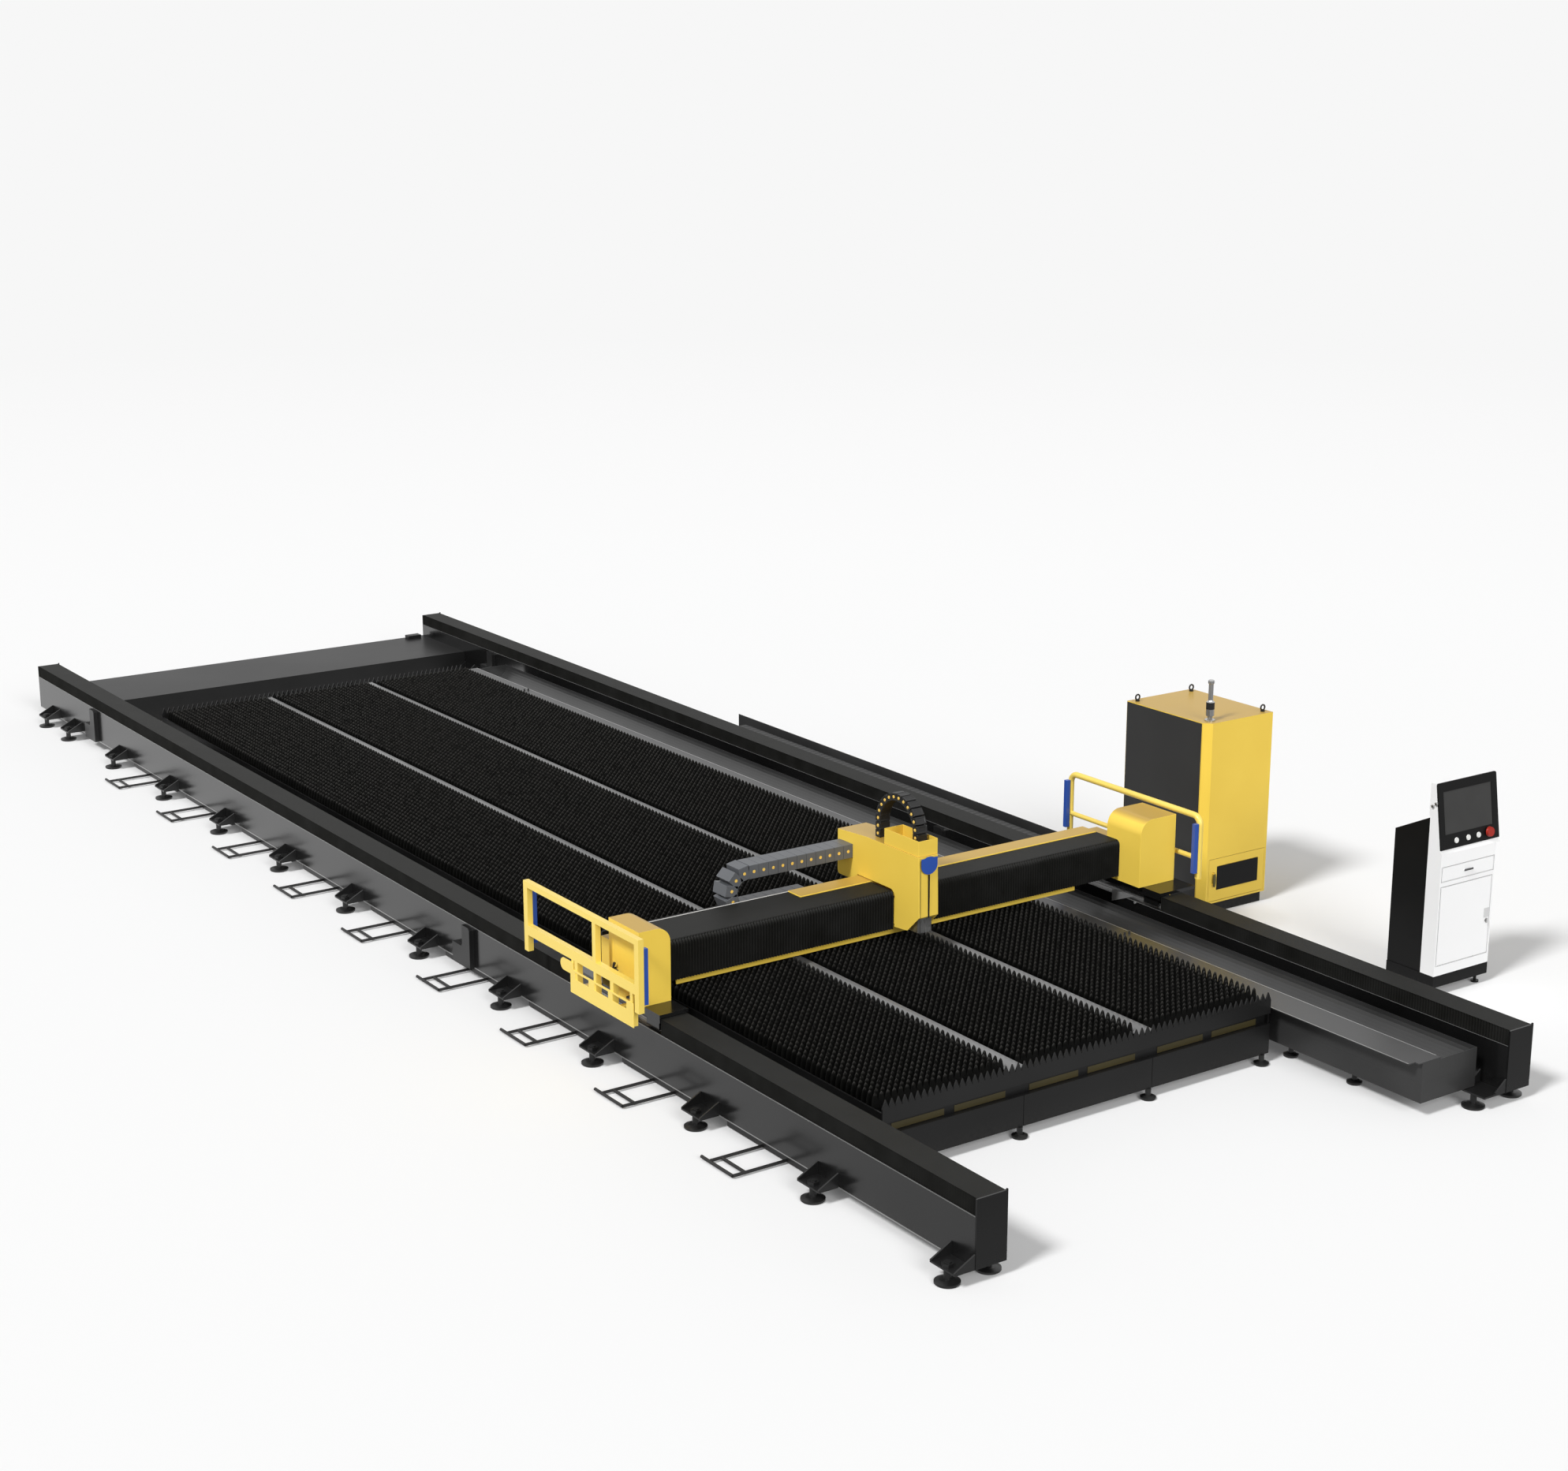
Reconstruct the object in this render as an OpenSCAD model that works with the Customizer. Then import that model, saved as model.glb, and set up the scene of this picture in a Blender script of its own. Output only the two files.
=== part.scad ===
// Gantry laser cutting machine with a long slatted bed, its control cabinet and its console.
// X runs across the bed, Y along the rails away from the operator, Z up, floor at z = 0.
// The modules are written from the outer face of the left rail, at the rail's front end,
// and placed() moves them so that the origin is at the bottom centre of the whole machine.

/* [Rails] */
// Length of both side rails
rail_l = 15900; // [15600:50:18000]
// Width of a side rail
rail_w = 230; // [220:5:280]
// Height of the box beam's underside above the floor
beam_z = 97; // [90:1:140]
// Height of the box beam in each rail
beam_h = 328; // [300:4:360]
// Wall of the box beam
beam_wall = 14; // [8:1:20]
// Height of the folded cover above the beam
cover_h = 112; // [90:2:140]
// Inset of the folded cover from the beam's side
cover_inset = 10; // [4:1:16]
// Length of one fold in the rail covers
cover_fold = 150; // [60:10:160]
// Skin of all folded covers
fold_skin = 3; // [2:0.5:4]
// Thickness of the plates that close the rails
end_plate_t = 12; // [6:1:20]
// Width of a linear guide
guide_w = 45; // [35:1:55]
// Height of a linear guide
guide_h = 38; // [28:1:44]
// Side of the square rack bar
rack_side = 30; // [20:1:36]

/* [Feet] */
// Diameter of a levelling foot
foot_d = 158; // [120:2:180]
// Height of the foot's disc
foot_h = 18; // [12:1:26]
// Diameter of a levelling stud
stud_d = 46; // [30:1:56]
// Reach of a foot bracket beside the left rail
left_reach = 150; // [130:5:180]
// Reach of a foot bracket beside the right rail
right_reach = 210; // [180:5:240]
// Length of a foot bracket along the rail
bracket_l = 230; // [180:5:260]
// Plate thickness of brackets and gussets
bracket_t = 12; // [8:1:16]
// Height of a gusset above its plate
gusset_h = 84; // [60:2:120]

/* [Bed] */
// Number of bays along the bed
bay_count = 9; // [6:1:9]
// Length of one bay
bay_l = 1333.333; // [1200:1:1340]
// Distance of the bed's front from the rail's front end
bed_y = 1452; // [1300:1:1600]
// Distance of the bed from the left rail
bed_gap = 188; // [150:1:240]
// Width of the whole bed
bed_w = 3366; // [3000:6:3600]
// Number of slat columns across the bed
column_count = 3; // [3:1:3]
// Thickness of the bed's plates
bed_wall = 12; // [8:1:16]
// Height of the tooth tips above the floor
tip_z = 528; // [500:1:534]
// Depth of the teeth
tooth_h = 60; // [40:1:70]
// Height of the bed's inner walls above the floor
bed_top = 440; // [420:1:450]
// Pitch of the teeth
tooth_pitch = 51; // [40:1:80]
// Depth of a slat below the inner walls' top
slat_base = 60; // [40:1:90]
// Thickness of a slat
slat_t = 6; // [3:1:10]
// Number of slats in one bay of a column
slats_per_bay = 5; // [4:1:7]
// Width of the strips between the columns
strip_w = 88; // [60:2:110]
// Height of the strips between the columns
strip_h = 44; // [30:1:60]

// Gap left between welded plates
weld = 0.3; // [0.1:0.1:0.5]

/* [Slag drawers] */
// Length of a pan across the bed's bay
pan_w = 1100; // [1000:10:1150]
// Wall of a pan
pan_wall = 4; // [3:1:6]
// Height of a pan's floor above the shop floor
pan_z = 12; // [8:1:20]
// Height of the runner that carries the pan's rim
runner_z = 75; // [70:1:80]
// Width of the pan's rim
pan_rim = 15; // [12:1:20]
// Diameter of the handle bars
handle_d = 22; // [12:1:26]
// Reach of the handle beyond the left rail
handle_reach = 350; // [260:1:420]
// Travel of a drawer
drawer_travel = 3400; // [2000:50:3500]

/* [Suction duct] */
// Distance of the duct from the bed
duct_gap = 115; // [100:1:150]
// Width of the duct
duct_w = 531; // [480:1:600]
// Distance of the duct from the right rail
duct_rail_gap = 110; // [100:1:140]
// Height of the duct's underside
duct_z = 113; // [112:1:130]
// Height of the duct's top
duct_top = 396; // [360:1:410]
// Front end of the duct
duct_y = 176; // [150:1:400]
// Length of the duct
duct_l = 13504; // [12600:4:14000]
// Radius of the gutter's curved side
gutter_r = 138; // [100:1:138]
// Sheet of the duct
duct_t = 4; // [3:1:6]
// Width of the suction port of a bay
port_w = 300; // [200:10:400]
// Height of the suction port of a bay
port_h = 110; // [60:5:130]

/* [Long drag chain] */
// Width of the trough beside the right rail
trough_w = 246; // [220:2:280]
// Start of the trough
trough_y = 3900; // [3700:50:4100]
// Length of the trough
trough_l = 6070; // [5600:10:6500]
// Width of the long drag chain
y_chain_w = 140; // [100:2:160]
// Height of a link of the long drag chain
y_link_h = 60; // [40:2:70]
// Bend radius of the long drag chain
y_chain_r = 115; // [100:1:118]
// Link length of the long drag chain
y_link = 125; // [100:5:150]

/* [Gantry] */
// Distance of the gantry from the rail's front end
gantry_y = 3397; // [3300:1:3600]
// Length of a saddle along the rail
saddle_l = 1163; // [1100:1:1200]
// Plate of a saddle
saddle_t = 25; // [20:1:30]
// Gap between the rail covers and the saddle
saddle_gap = 3; // [2:0.5:6]
// Width of the right saddle
right_saddle_w = 360; // [340:1:370]
// Depth of the gantry beam
gantry_d = 368; // [340:1:400]
// Height of the gantry beam
gantry_h = 260; // [240:1:280]
// Height of the beam's underside above the saddles
gantry_lift = 45; // [40:1:60]
// Wall of the gantry beam
gantry_wall = 12; // [8:1:16]
// Width of the left end housing
housing_w = 250; // [240:1:250]
// Height of the end housings
housing_h = 537; // [500:1:560]
// Sheet of the end housings
housing_t = 4; // [3:1:6]
// Diameter of a drive motor
motor_d = 130; // [100:2:140]
// Height of a drive motor
motor_h = 320; // [240:5:360]

/* [Carriage] */
// Place of the carriage along the beam
carriage_x = 2288; // [2000:1:2600]
// Width of the carriage's nose
nose_w = 176; // [176:1:200]
// Width of the carriage behind the nose
body_w = 264; // [250:1:300]
// Sheet of the carriage
carriage_t = 8; // [6:1:10]
// Wall of the box on top of the carriage
box_t = 5; // [3:1:8]
// Height of the box on top of the carriage
box_h = 117; // [90:1:140]
// Width of the drag chain on the carriage
z_chain_w = 94; // [70:1:96]
// Bend radius of the drag chain on the carriage
z_chain_r = 225; // [200:1:230]
// Height of a link of the small drag chains
z_link_h = 60; // [44:2:60]
// Width of the head's body
head_w = 130; // [100:1:140]
// Diameter of the head's barrel
barrel_d = 70; // [50:1:90]

/* [Cross drag chain] */
// Width of the cross drag chain
x_chain_w = 166; // [140:2:176]
// Height of a link of the cross drag chain
x_link_h = 105; // [90:1:110]
// Bend radius of the cross drag chain
x_chain_r = 142; // [130:1:146]
// Link length of the cross drag chain
x_link = 130; // [100:5:160]

/* [Guards] */
// Side of the left guard's tubes
guard_tube = 44; // [40:1:50]
// Distance of the left guard from the rail
guard_out = 136; // [120:1:150]
// Diameter of the right guard's tube
round_tube = 50; // [40:1:54]
// Height of the guards' top
guard_top = 1144; // [1100:1:1200]
// Width of a light curtain
curtain_w = 40; // [18:1:44]
// Height of a light curtain
curtain_h = 400; // [300:5:420]

/* [Cabinet] */
// Distance of the cabinet from the right rail
cabinet_gap = 800; // [600:10:1000]
// Width of the cabinet
cabinet_w = 727; // [700:1:760]
// Depth of the cabinet
cabinet_d = 958; // [900:1:1000]
// Height of the cabinet without its plinth
cabinet_h = 1535; // [1400:5:1600]
// Height of the plinth
plinth_h = 92; // [60:1:120]
// Corner chamfer of the cabinet
cabinet_chamfer = 57; // [40:1:62]
// Sheet of the cabinet and the console
sheet_t = 3; // [2:0.5:4]
// Height of the cabinet's door
cab_door_h = 358; // [340:1:400]
// Thickness of the doors
door_t = 18; // [12:1:24]
// Gap round doors and drawers
door_gap = 3; // [2.5:0.5:4]
// Height of the signal mast
mast_h = 340; // [300:5:400]

/* [Console] */
// Distance of the console from the right rail
console_gap = 937; // [700:1:1100]
// Width of the console's body
console_w = 600; // [598:1:640]
// Width of the console's head
head_plate_w = 641; // [641:1:680]
// Depth of the console's front body
console_d = 132; // [120:1:150]
// Height of the console's body up to the head
console_body_h = 950; // [940:1:980]
// Length of the leaning face
face_l = 503; // [490:1:520]
// Lean of the console's head in degrees
lean = 8.5; // [6:0.5:10]
// Depth of the column behind the console
column_d = 330; // [300:5:360]
// Height of the console's base above the floor
base_z = 75; // [60:1:90]
// Height of the console's base
base_h = 90; // [80:1:100]
// Diameter of the console's push buttons
button_d = 44; // [36:1:50]
// Diameter of the stop button's head
stop_d = 78; // [60:1:84]
// Clearance of a button in its bore
fit = 0.3; // [0.2:0.1:0.5]

/* [Hidden] */
$fn = 48;

// Colours
dark_steel = [0.29, 0.29, 0.28];
fold_black = [0.13, 0.13, 0.12];
bright_steel = [0.72, 0.72, 0.71];
slat_black = [0.10, 0.10, 0.10];
yellow = [0.93, 0.80, 0.40];
light_grey = [0.70, 0.70, 0.69];
chain_grey = [0.42, 0.43, 0.44];
blue = [0.12, 0.24, 0.58];
white = [0.94, 0.94, 0.93];
near_black = [0.12, 0.12, 0.12];
red = [0.80, 0.22, 0.17];

// Places across the machine
bed_x = rail_w + bed_gap;
bed_end = bed_x + bed_w;
column_w = bed_w / column_count;
duct_x = bed_end + duct_gap;
duct_end = duct_x + duct_w;
rail_2 = duct_end + duct_rail_gap;
machine_w = rail_2 + rail_w;
rail_x = [0, rail_2];
cabinet_x = machine_w + cabinet_gap;
console_x = machine_w + console_gap;

// Heights
beam_top = beam_z + beam_h;
cover_top = beam_top + cover_h;
saddle_z = cover_top + saddle_gap;
saddle_top = saddle_z + saddle_t;
gantry_z = saddle_top + gantry_lift;
gantry_top = gantry_z + gantry_h;
tooth_root = tip_z - tooth_h;
slat_z = bed_top - slat_base;
bracket_z = beam_z;

// Places along the machine
bed_l = bay_count * bay_l;
bed_back = bed_y + bed_l;
beam_front = gantry_y + 503;
beam_back = beam_front + gantry_d;
near_feet = [for (k = [-1:bay_count]) bed_y + k * bay_l];
far_feet = [rail_l - 1158, rail_l - 500];
foot_y = concat(near_feet, far_feet);

// Origin at the bottom centre of the machine
side_button_reach = 45;
x_min = -handle_reach - handle_d / 2;
x_max = max(cabinet_x + cabinet_w + side_button_reach, console_x + head_plate_w);
module placed() {
    translate([-(x_min + x_max) / 2, -rail_l / 2, 0]) children();
}

// A box from its lowest corner to its highest corner
module block(a, b) {
    translate(a) cube(b - a);
}

// A profile drawn in Y and Z, extruded from x = a to x = b
module along_x(a, b) {
    translate([a, 0, 0]) rotate([90, 0, 90]) linear_extrude(b - a) children();
}

// A profile drawn in X and Z, extruded from y = a to y = b
module along_y(a, b) {
    translate([0, b, 0]) rotate([90, 0, 0]) linear_extrude(b - a) children();
}

// Points of an arc about c, from angle a to angle b
function arc(c, r, a, b, n = 8) = [for (i = [0:n]) c + r * [cos(a + (b - a) * i / n), sin(a + (b - a) * i / n)]];

// Box beams of both rails, open at their ends
module rail_beams() {
    color(dark_steel) placed() for (x = rail_x) translate([x, end_plate_t, beam_z]) difference() {
        cube([rail_w, rail_l - 2 * end_plate_t, beam_h]);
        translate([beam_wall, -1, beam_wall]) cube([rail_w - 2 * beam_wall, rail_l, beam_h - 2 * beam_wall]);
    }
}

// Plates that close the rails, with a small raised lip at one top corner
lip = 8;
module rail_end_plates() {
    h = beam_h + cover_h;
    color(dark_steel) placed() for (x = rail_x) for (y = [0, rail_l - end_plate_t])
        translate([x, 0, beam_z]) along_y(y, y + end_plate_t)
            polygon([[0, 0], [rail_w, 0], [rail_w, h + lip], [rail_w - lip / 2, h + lip], [rail_w - 2 * lip, h], [0, h]]);
}

// Profile of a linear guide, its foot on the line z = 0 and centred on x = 0
module guide_profile(w, h) {
    waist = w * 0.14;
    polygon([[-w / 2, 0], [w / 2, 0], [w / 2, h * 0.3], [w / 2 - waist, h * 0.45], [w / 2 - waist, h * 0.62],
        [w / 2, h * 0.78], [w / 2, h], [-w / 2, h], [-w / 2, h * 0.78], [-w / 2 + waist, h * 0.62],
        [-w / 2 + waist, h * 0.45], [-w / 2, h * 0.3]]);
}

// Linear guide and rack bar on each rail, hidden by the folded covers
guide_x = 68;
rack_x = 125;
guide_end = 60;
module rail_guides() {
    color(bright_steel) placed() for (x = rail_x) translate([x, 0, beam_top]) {
        translate([guide_x, 0, 0]) along_y(guide_end, rail_l - guide_end) guide_profile(guide_w, guide_h);
        along_y(guide_end, rail_l - guide_end) translate([rack_x, 0]) square([rack_side, rack_side]);
    }
}

// Zigzag line along Y that swings between two values of X
function zigzag(a, b, y1, y2, n) = [for (i = [0:n]) [i % 2 == 0 ? a : b, y1 + (y2 - y1) * i / n]];
function reversed(v) = [for (i = [len(v) - 1:-1:0]) v[i]];

// Folded cover over one rail: pleated sides under a smooth top skin
fold_depth = 14;
module rail_cover(y1, y2) {
    folds = 2 * round((y2 - y1) / cover_fold / 2) * 2;
    a = cover_inset;
    b = rail_w - cover_inset;
    side = zigzag(a, a + fold_depth, y1, y2, folds);
    inner = [for (p = side) [p[0] + fold_skin, p[1]]];
    strip = concat(side, reversed(inner));
    translate([0, 0, beam_top]) linear_extrude(cover_h - fold_skin) {
        polygon(strip);
        polygon([for (p = strip) [a + b - p[0], p[1]]]);
    }
    block([a, y1, cover_top - fold_skin], [b, y2, cover_top]);
}

module front_rail_bellows() {
    color(fold_black) placed() for (x = rail_x) translate([x, 0, 0]) rail_cover(end_plate_t, gantry_y);
}

module rear_rail_bellows() {
    color(fold_black) placed() for (x = rail_x) translate([x, 0, 0])
        rail_cover(gantry_y + saddle_l, rail_l - end_plate_t);
}

// Foot bracket beside a rail: a bored plate with two gussets, drawn from the rail's face at x = 0
stud_bore = stud_d + 1;
module foot_bracket(reach, gusset_reach, stud_x) {
    difference() {
        block([-reach, -bracket_l / 2, bracket_z], [0, bracket_l / 2, bracket_z + bracket_t]);
        translate([stud_x, 0, bracket_z - 1]) cylinder(d = stud_bore, h = bracket_t + 2);
    }
    for (y = [-bracket_l / 2, bracket_l / 2 - bracket_t])
        along_y(y, y + bracket_t) translate([0, bracket_z + bracket_t])
            polygon([[0, 0], [-gusset_reach, 0], [-gusset_reach, bracket_t / 2], [0, gusset_h]]);
}

// Clamp that joins two lengths of rail, a hooked plate on the rail's side
clamp_t = 40;
splice_y = [bed_y + 3.46 * bay_l, rail_l - 1758];
module rail_clamp() {
    along_x(-clamp_t, 0) polygon([[0, beam_z], [280, beam_z], [280, beam_z + 150], [134, beam_z + 150],
        [120, beam_z + 175], [120, beam_top - 4], [20, beam_top - 4], [0, beam_top - 24]]);
}

left_stud = -110;
right_stud = -180;
module foot_brackets() {
    color(dark_steel) placed() {
        for (y = foot_y) translate([0, y, 0]) {
            foot_bracket(left_reach, left_reach, left_stud);
            translate([rail_2, 0, 0]) foot_bracket(right_reach, duct_rail_gap - 10, right_stud);
        }
        for (x = rail_x) for (y = splice_y) translate([x, y, 0]) rail_clamp();
    }
}

// Levelling foot: a stepped disc, a stud and, where there is room, a lock nut above the bracket
nut_h = 22;
module levelling_foot(top, d = foot_d, stud = stud_d) {
    rotate_extrude() polygon([[0, 0], [d / 2 - 6, 0], [d / 2, 6], [d / 2, foot_h], [d * 0.3, foot_h + 10],
        [stud / 2, foot_h + 12], [stud / 2, top], [0, top]]);
}
module lock_nut(z) {
    translate([0, 0, z]) difference() {
        cylinder(d = stud_d * 1.7, h = nut_h, $fn = 6);
        translate([0, 0, -1]) cylinder(d = stud_bore, h = nut_h + 2, $fn = 48);
    }
}

under_foot_x = 190;
leg_stud = 40;
leg_foot = 110;
leg_inset = 60;
cross_z = 60;
front_wall_z = 75;
duct_foot_x = 110;
function column_x(i) = bed_x + i * column_w;
leg_x = [bed_x + leg_inset, for (i = [1:column_count - 1]) column_x(i), bed_end - leg_inset];
module levelling_feet() {
    color(dark_steel) placed() {
        for (y = foot_y) translate([0, y, 0]) {
            translate([left_stud, 0, 0]) {
                levelling_foot(bracket_z + bracket_t + nut_h + 8);
                lock_nut(bracket_z + bracket_t);
            }
            translate([rail_2 + right_stud, 0, 0]) levelling_foot(bracket_z + bracket_t);
            for (x = rail_x) translate([x + under_foot_x, 0, 0]) levelling_foot(beam_z);
        }
        for (k = [1:bay_count - 1]) for (x = leg_x)
            translate([x, bed_y + k * bay_l, 0]) levelling_foot(cross_z, leg_foot, leg_stud);
        for (y = [bed_y + bed_wall / 2, bed_back - bed_wall / 2]) for (x = leg_x)
            translate([x, y, 0]) levelling_foot(front_wall_z, leg_foot, leg_stud);
        for (y = concat([duct_y + 678], near_feet)) if (y > duct_y + 100)
            translate([duct_x + duct_foot_x, y, 0]) levelling_foot(duct_z, leg_foot, leg_stud);
    }
}

// Bed frame of welded plates: outer walls, cross walls between the bays, webs under the strips,
// ledges that carry the slats, runners that carry the drawers, and the recessed end panels
side_wall_z = 100;
front_wall_top = 290;
recess_top = 370;
recess_depth = 42;
shelf_t = 6;
ledge_w = 30;
ledge_t = 6;
runner_t = 5;
runner_gap = 3;
module bed_walls() {
    w = bed_wall;
    inner_a = bed_x + w;
    inner_b = bed_end - w;
    color(dark_steel) placed() {
        for (end = [0, 1]) translate([0, end * (bed_y + bed_back), 0]) mirror([0, end, 0]) {
            difference() {
                block([bed_x, bed_y, front_wall_z], [bed_end, bed_y + w, front_wall_top]);
                for (i = [1:column_count - 1]) block([column_x(i) + 22, bed_y - 1, front_wall_z - 1],
                    [column_x(i) + 26, bed_y + 3, front_wall_top + 1]);
            }
            block([inner_a + weld, bed_y + w + weld, front_wall_top - shelf_t],
                [inner_b - weld, bed_y + w + recess_depth, front_wall_top]);
            block([inner_a + weld, bed_y + recess_depth, front_wall_top + weld],
                [inner_b - weld, bed_y + recess_depth + shelf_t, recess_top - weld]);
        }
        for (x = [bed_x, bed_end - w]) block([x, bed_y + w + weld, side_wall_z], [x + w, bed_back - w - weld, bed_top]);
        for (k = [1:bay_count - 1]) translate([0, bed_y + k * bay_l, 0])
            block([inner_a + weld, -w / 2, cross_z], [inner_b - weld, w / 2, bed_top]);
        for (k = [0:bay_count - 1]) {
            y1 = bed_y + k * bay_l + (k == 0 ? w + recess_depth : w / 2) + weld;
            y2 = bed_y + (k + 1) * bay_l - (k == bay_count - 1 ? w + recess_depth : w / 2) - weld;
            run_1 = bed_y + k * bay_l + (k == 0 ? w : w / 2) + weld;
            run_2 = bed_y + (k + 1) * bay_l - (k == bay_count - 1 ? w : w / 2) - weld;
            rim_1 = bed_y + (k + 0.5) * bay_l - pan_w / 2 - runner_gap;
            rim_2 = bed_y + (k + 0.5) * bay_l + pan_w / 2 + runner_gap;
            for (i = [1:column_count - 1]) {
                x = column_x(i);
                block([x - w / 2, y1, side_wall_z], [x + w / 2, y2, bed_top]);
                for (s = [-1, 1]) translate([x + s * (w / 2 + weld + ledge_w / 2), 0, 0])
                    block([-ledge_w / 2, y1, slat_z - ledge_t], [ledge_w / 2, y2, slat_z]);
            }
            block([inner_a + weld, y1, slat_z - ledge_t], [inner_a + ledge_w, y2, slat_z]);
            block([inner_b - ledge_w, y1, slat_z - ledge_t], [inner_b - weld, y2, slat_z]);
            block([inner_a, run_1, runner_z], [inner_b, rim_1, runner_z + runner_t]);
            block([inner_a, rim_2, runner_z], [inner_b, run_2, runner_z + runner_t]);
        }
    }
}

// Outline of a slat or toothed plate in X and Z: a straight base with pointed teeth on top
function teeth(a, b, root, tip) = let (n = floor((b - a) / tooth_pitch), p = (b - a) / n)
    [for (i = [0:n - 1]) each [[a + i * p, root], [a + (i + 0.5) * p, tip]]];
module slat_profile(a, b, tooth_a, tooth_b) {
    left = tooth_a > a ? [[a, bed_top], [tooth_a, bed_top]] : [];
    right = tooth_b < b ? [[tooth_b, bed_top], [b, bed_top]] : [];
    polygon(concat([[b, slat_z], [a, slat_z]], left, teeth(tooth_a, tooth_b, tooth_root, tip_z),
        [[tooth_b, tooth_root]], right));
}

// Slats of one column, standing across the machine on their ledges
slat_play = 1;
module slat_column(i) {
    left_end = i == 0 ? bed_x + bed_wall : column_x(i) + bed_wall / 2;
    right_end = i == column_count - 1 ? bed_end - bed_wall : column_x(i + 1) - bed_wall / 2;
    a = left_end + slat_play;
    b = right_end - slat_play;
    tooth_a = i == 0 ? a : column_x(i) + strip_w / 2 + slat_play;
    tooth_b = i == column_count - 1 ? b : column_x(i + 1) - strip_w / 2 - slat_play;
    pitch = bay_l / slats_per_bay;
    for (k = [0:bay_count - 1]) for (j = [0:slats_per_bay - 1]) {
        y = bed_y + k * bay_l + (j + 0.5) * pitch;
        along_y(y - slat_t / 2, y + slat_t / 2) slat_profile(a, b, tooth_a, tooth_b);
    }
}
module slats_left() {
    color(slat_black) placed() slat_column(0);
}
module slats_middle() {
    color(slat_black) placed() slat_column(1);
}
module slats_right() {
    color(slat_black) placed() slat_column(2);
}

// Toothed plates across the front and rear of the bed, flush with its end walls
module tooth_plates() {
    color(dark_steel) placed() for (y = [bed_y, bed_back - bed_wall]) along_y(y, y + bed_wall)
        polygon(concat([[bed_end, recess_top], [bed_x, recess_top]], teeth(bed_x, bed_end, tooth_root, tip_z),
            [[bed_end, tooth_root]]));
}

// Sloped strips that cover the webs between the slat columns
module divider_strips() {
    h = strip_w / 2;
    color(light_grey) placed() for (i = [1:column_count - 1]) along_y(bed_y + bed_wall, bed_back - bed_wall)
        translate([column_x(i), bed_top]) polygon([[-h, 0], [h, 0], [h, strip_h], [h - 30, strip_h], [-h, 8]]);
}

// Low cover across the rear of the machine, open below, with a small block on its rear edge
rear_cover_l = 1030;
rear_cover_y = rail_l - rear_cover_l;
rear_cover_h = 300;
rear_cover_t = 4;
module rear_cover() {
    t = rear_cover_t;
    color(dark_steel) placed() {
        block([rail_w, rear_cover_y, rear_cover_h - t], [rail_2, rail_l, rear_cover_h]);
        for (y = [rear_cover_y, rail_l - t]) block([rail_w, y, 20], [rail_2, y + t, rear_cover_h - t - weld]);
        block([rail_2 - 240, rail_l - 110, rear_cover_h], [rail_2 - 80, rail_l - 20, rear_cover_h + 36]);
    }
}

// Suction duct beside the bed: a closed box below, joined to each bay by a port, a narrow box
// with a lip on the bed's side, an open gutter and a curved sheet up to the right rail
duct_mid = 254;
port_z = 122;
duct_riser_w = 169;
lip_reach = 99;
lip_t = 8;
module hollow_block(a, b, t) {
    difference() {
        block(a, b);
        block(a + [t, t, t], b - [t, t, t]);
    }
}
module suction_duct() {
    y1 = duct_y;
    y2 = duct_y + duct_l;
    riser = duct_x + duct_riser_w;
    centre = [duct_end - duct_t - gutter_r, duct_mid + gutter_r];
    color(light_grey) placed() {
        hollow_block([duct_x, y1, duct_z], [duct_end, y2, duct_mid], duct_t);
        hollow_block([duct_x, y1, duct_mid + weld], [riser, y2, duct_top - weld], duct_t);
        for (k = [0:bay_count - 1]) translate([0, bed_y + (k + 0.5) * bay_l, port_z])
            hollow_block([bed_end, -port_w / 2, 0], [duct_x - weld, port_w / 2, port_h], duct_t);
        difference() {
            block([duct_x - lip_reach, y1, duct_top], [riser + duct_t, y2, duct_top + lip_t]);
            translate([duct_x - lip_reach, y1, duct_top - 1]) cube([60, 34, lip_t + 2]);
        }
        along_y(y1 + duct_t + weld, y2 - duct_t - weld) translate([0, weld]) polygon(concat([[duct_end, duct_mid],
            [duct_end, duct_mid + gutter_r]], reversed(arc(centre, gutter_r, -90, 0))));
        for (y = [y1, y2 - duct_t]) block([riser + weld, y, duct_mid + weld], [duct_end, y + duct_t, duct_top - duct_t]);
        for (y = [y1 + 3010, y2 - 1200]) for (x = [0, 46]) translate([riser - 30 - x, y, duct_top + lip_t])
            cylinder(d = 18, h = 22);
    }
}

// Trough for the long drag chain: a floor carried by gussets on the right rail, and an outer wall
trough_z = 200;
trough_t = 5;
gusset_step = 1200;
module chain_trough() {
    x1 = machine_w;
    x2 = machine_w + trough_w;
    y2 = trough_y + trough_l;
    color(light_grey) placed() {
        block([x1, trough_y, trough_z], [x2, y2, trough_z + trough_t]);
        block([x2 - trough_t, trough_y, trough_z + trough_t + weld], [x2, y2, cover_top]);
        for (y = [trough_y + 40:gusset_step:y2 - 40]) along_y(y, y + 10)
            translate([0, -weld]) polygon([[x1, trough_z], [x1, beam_z + 10], [x1 + 24, beam_z + 10],
                [x2 - 10, trough_z - 14], [x2 - 10, trough_z]]);
    }
}

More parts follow.
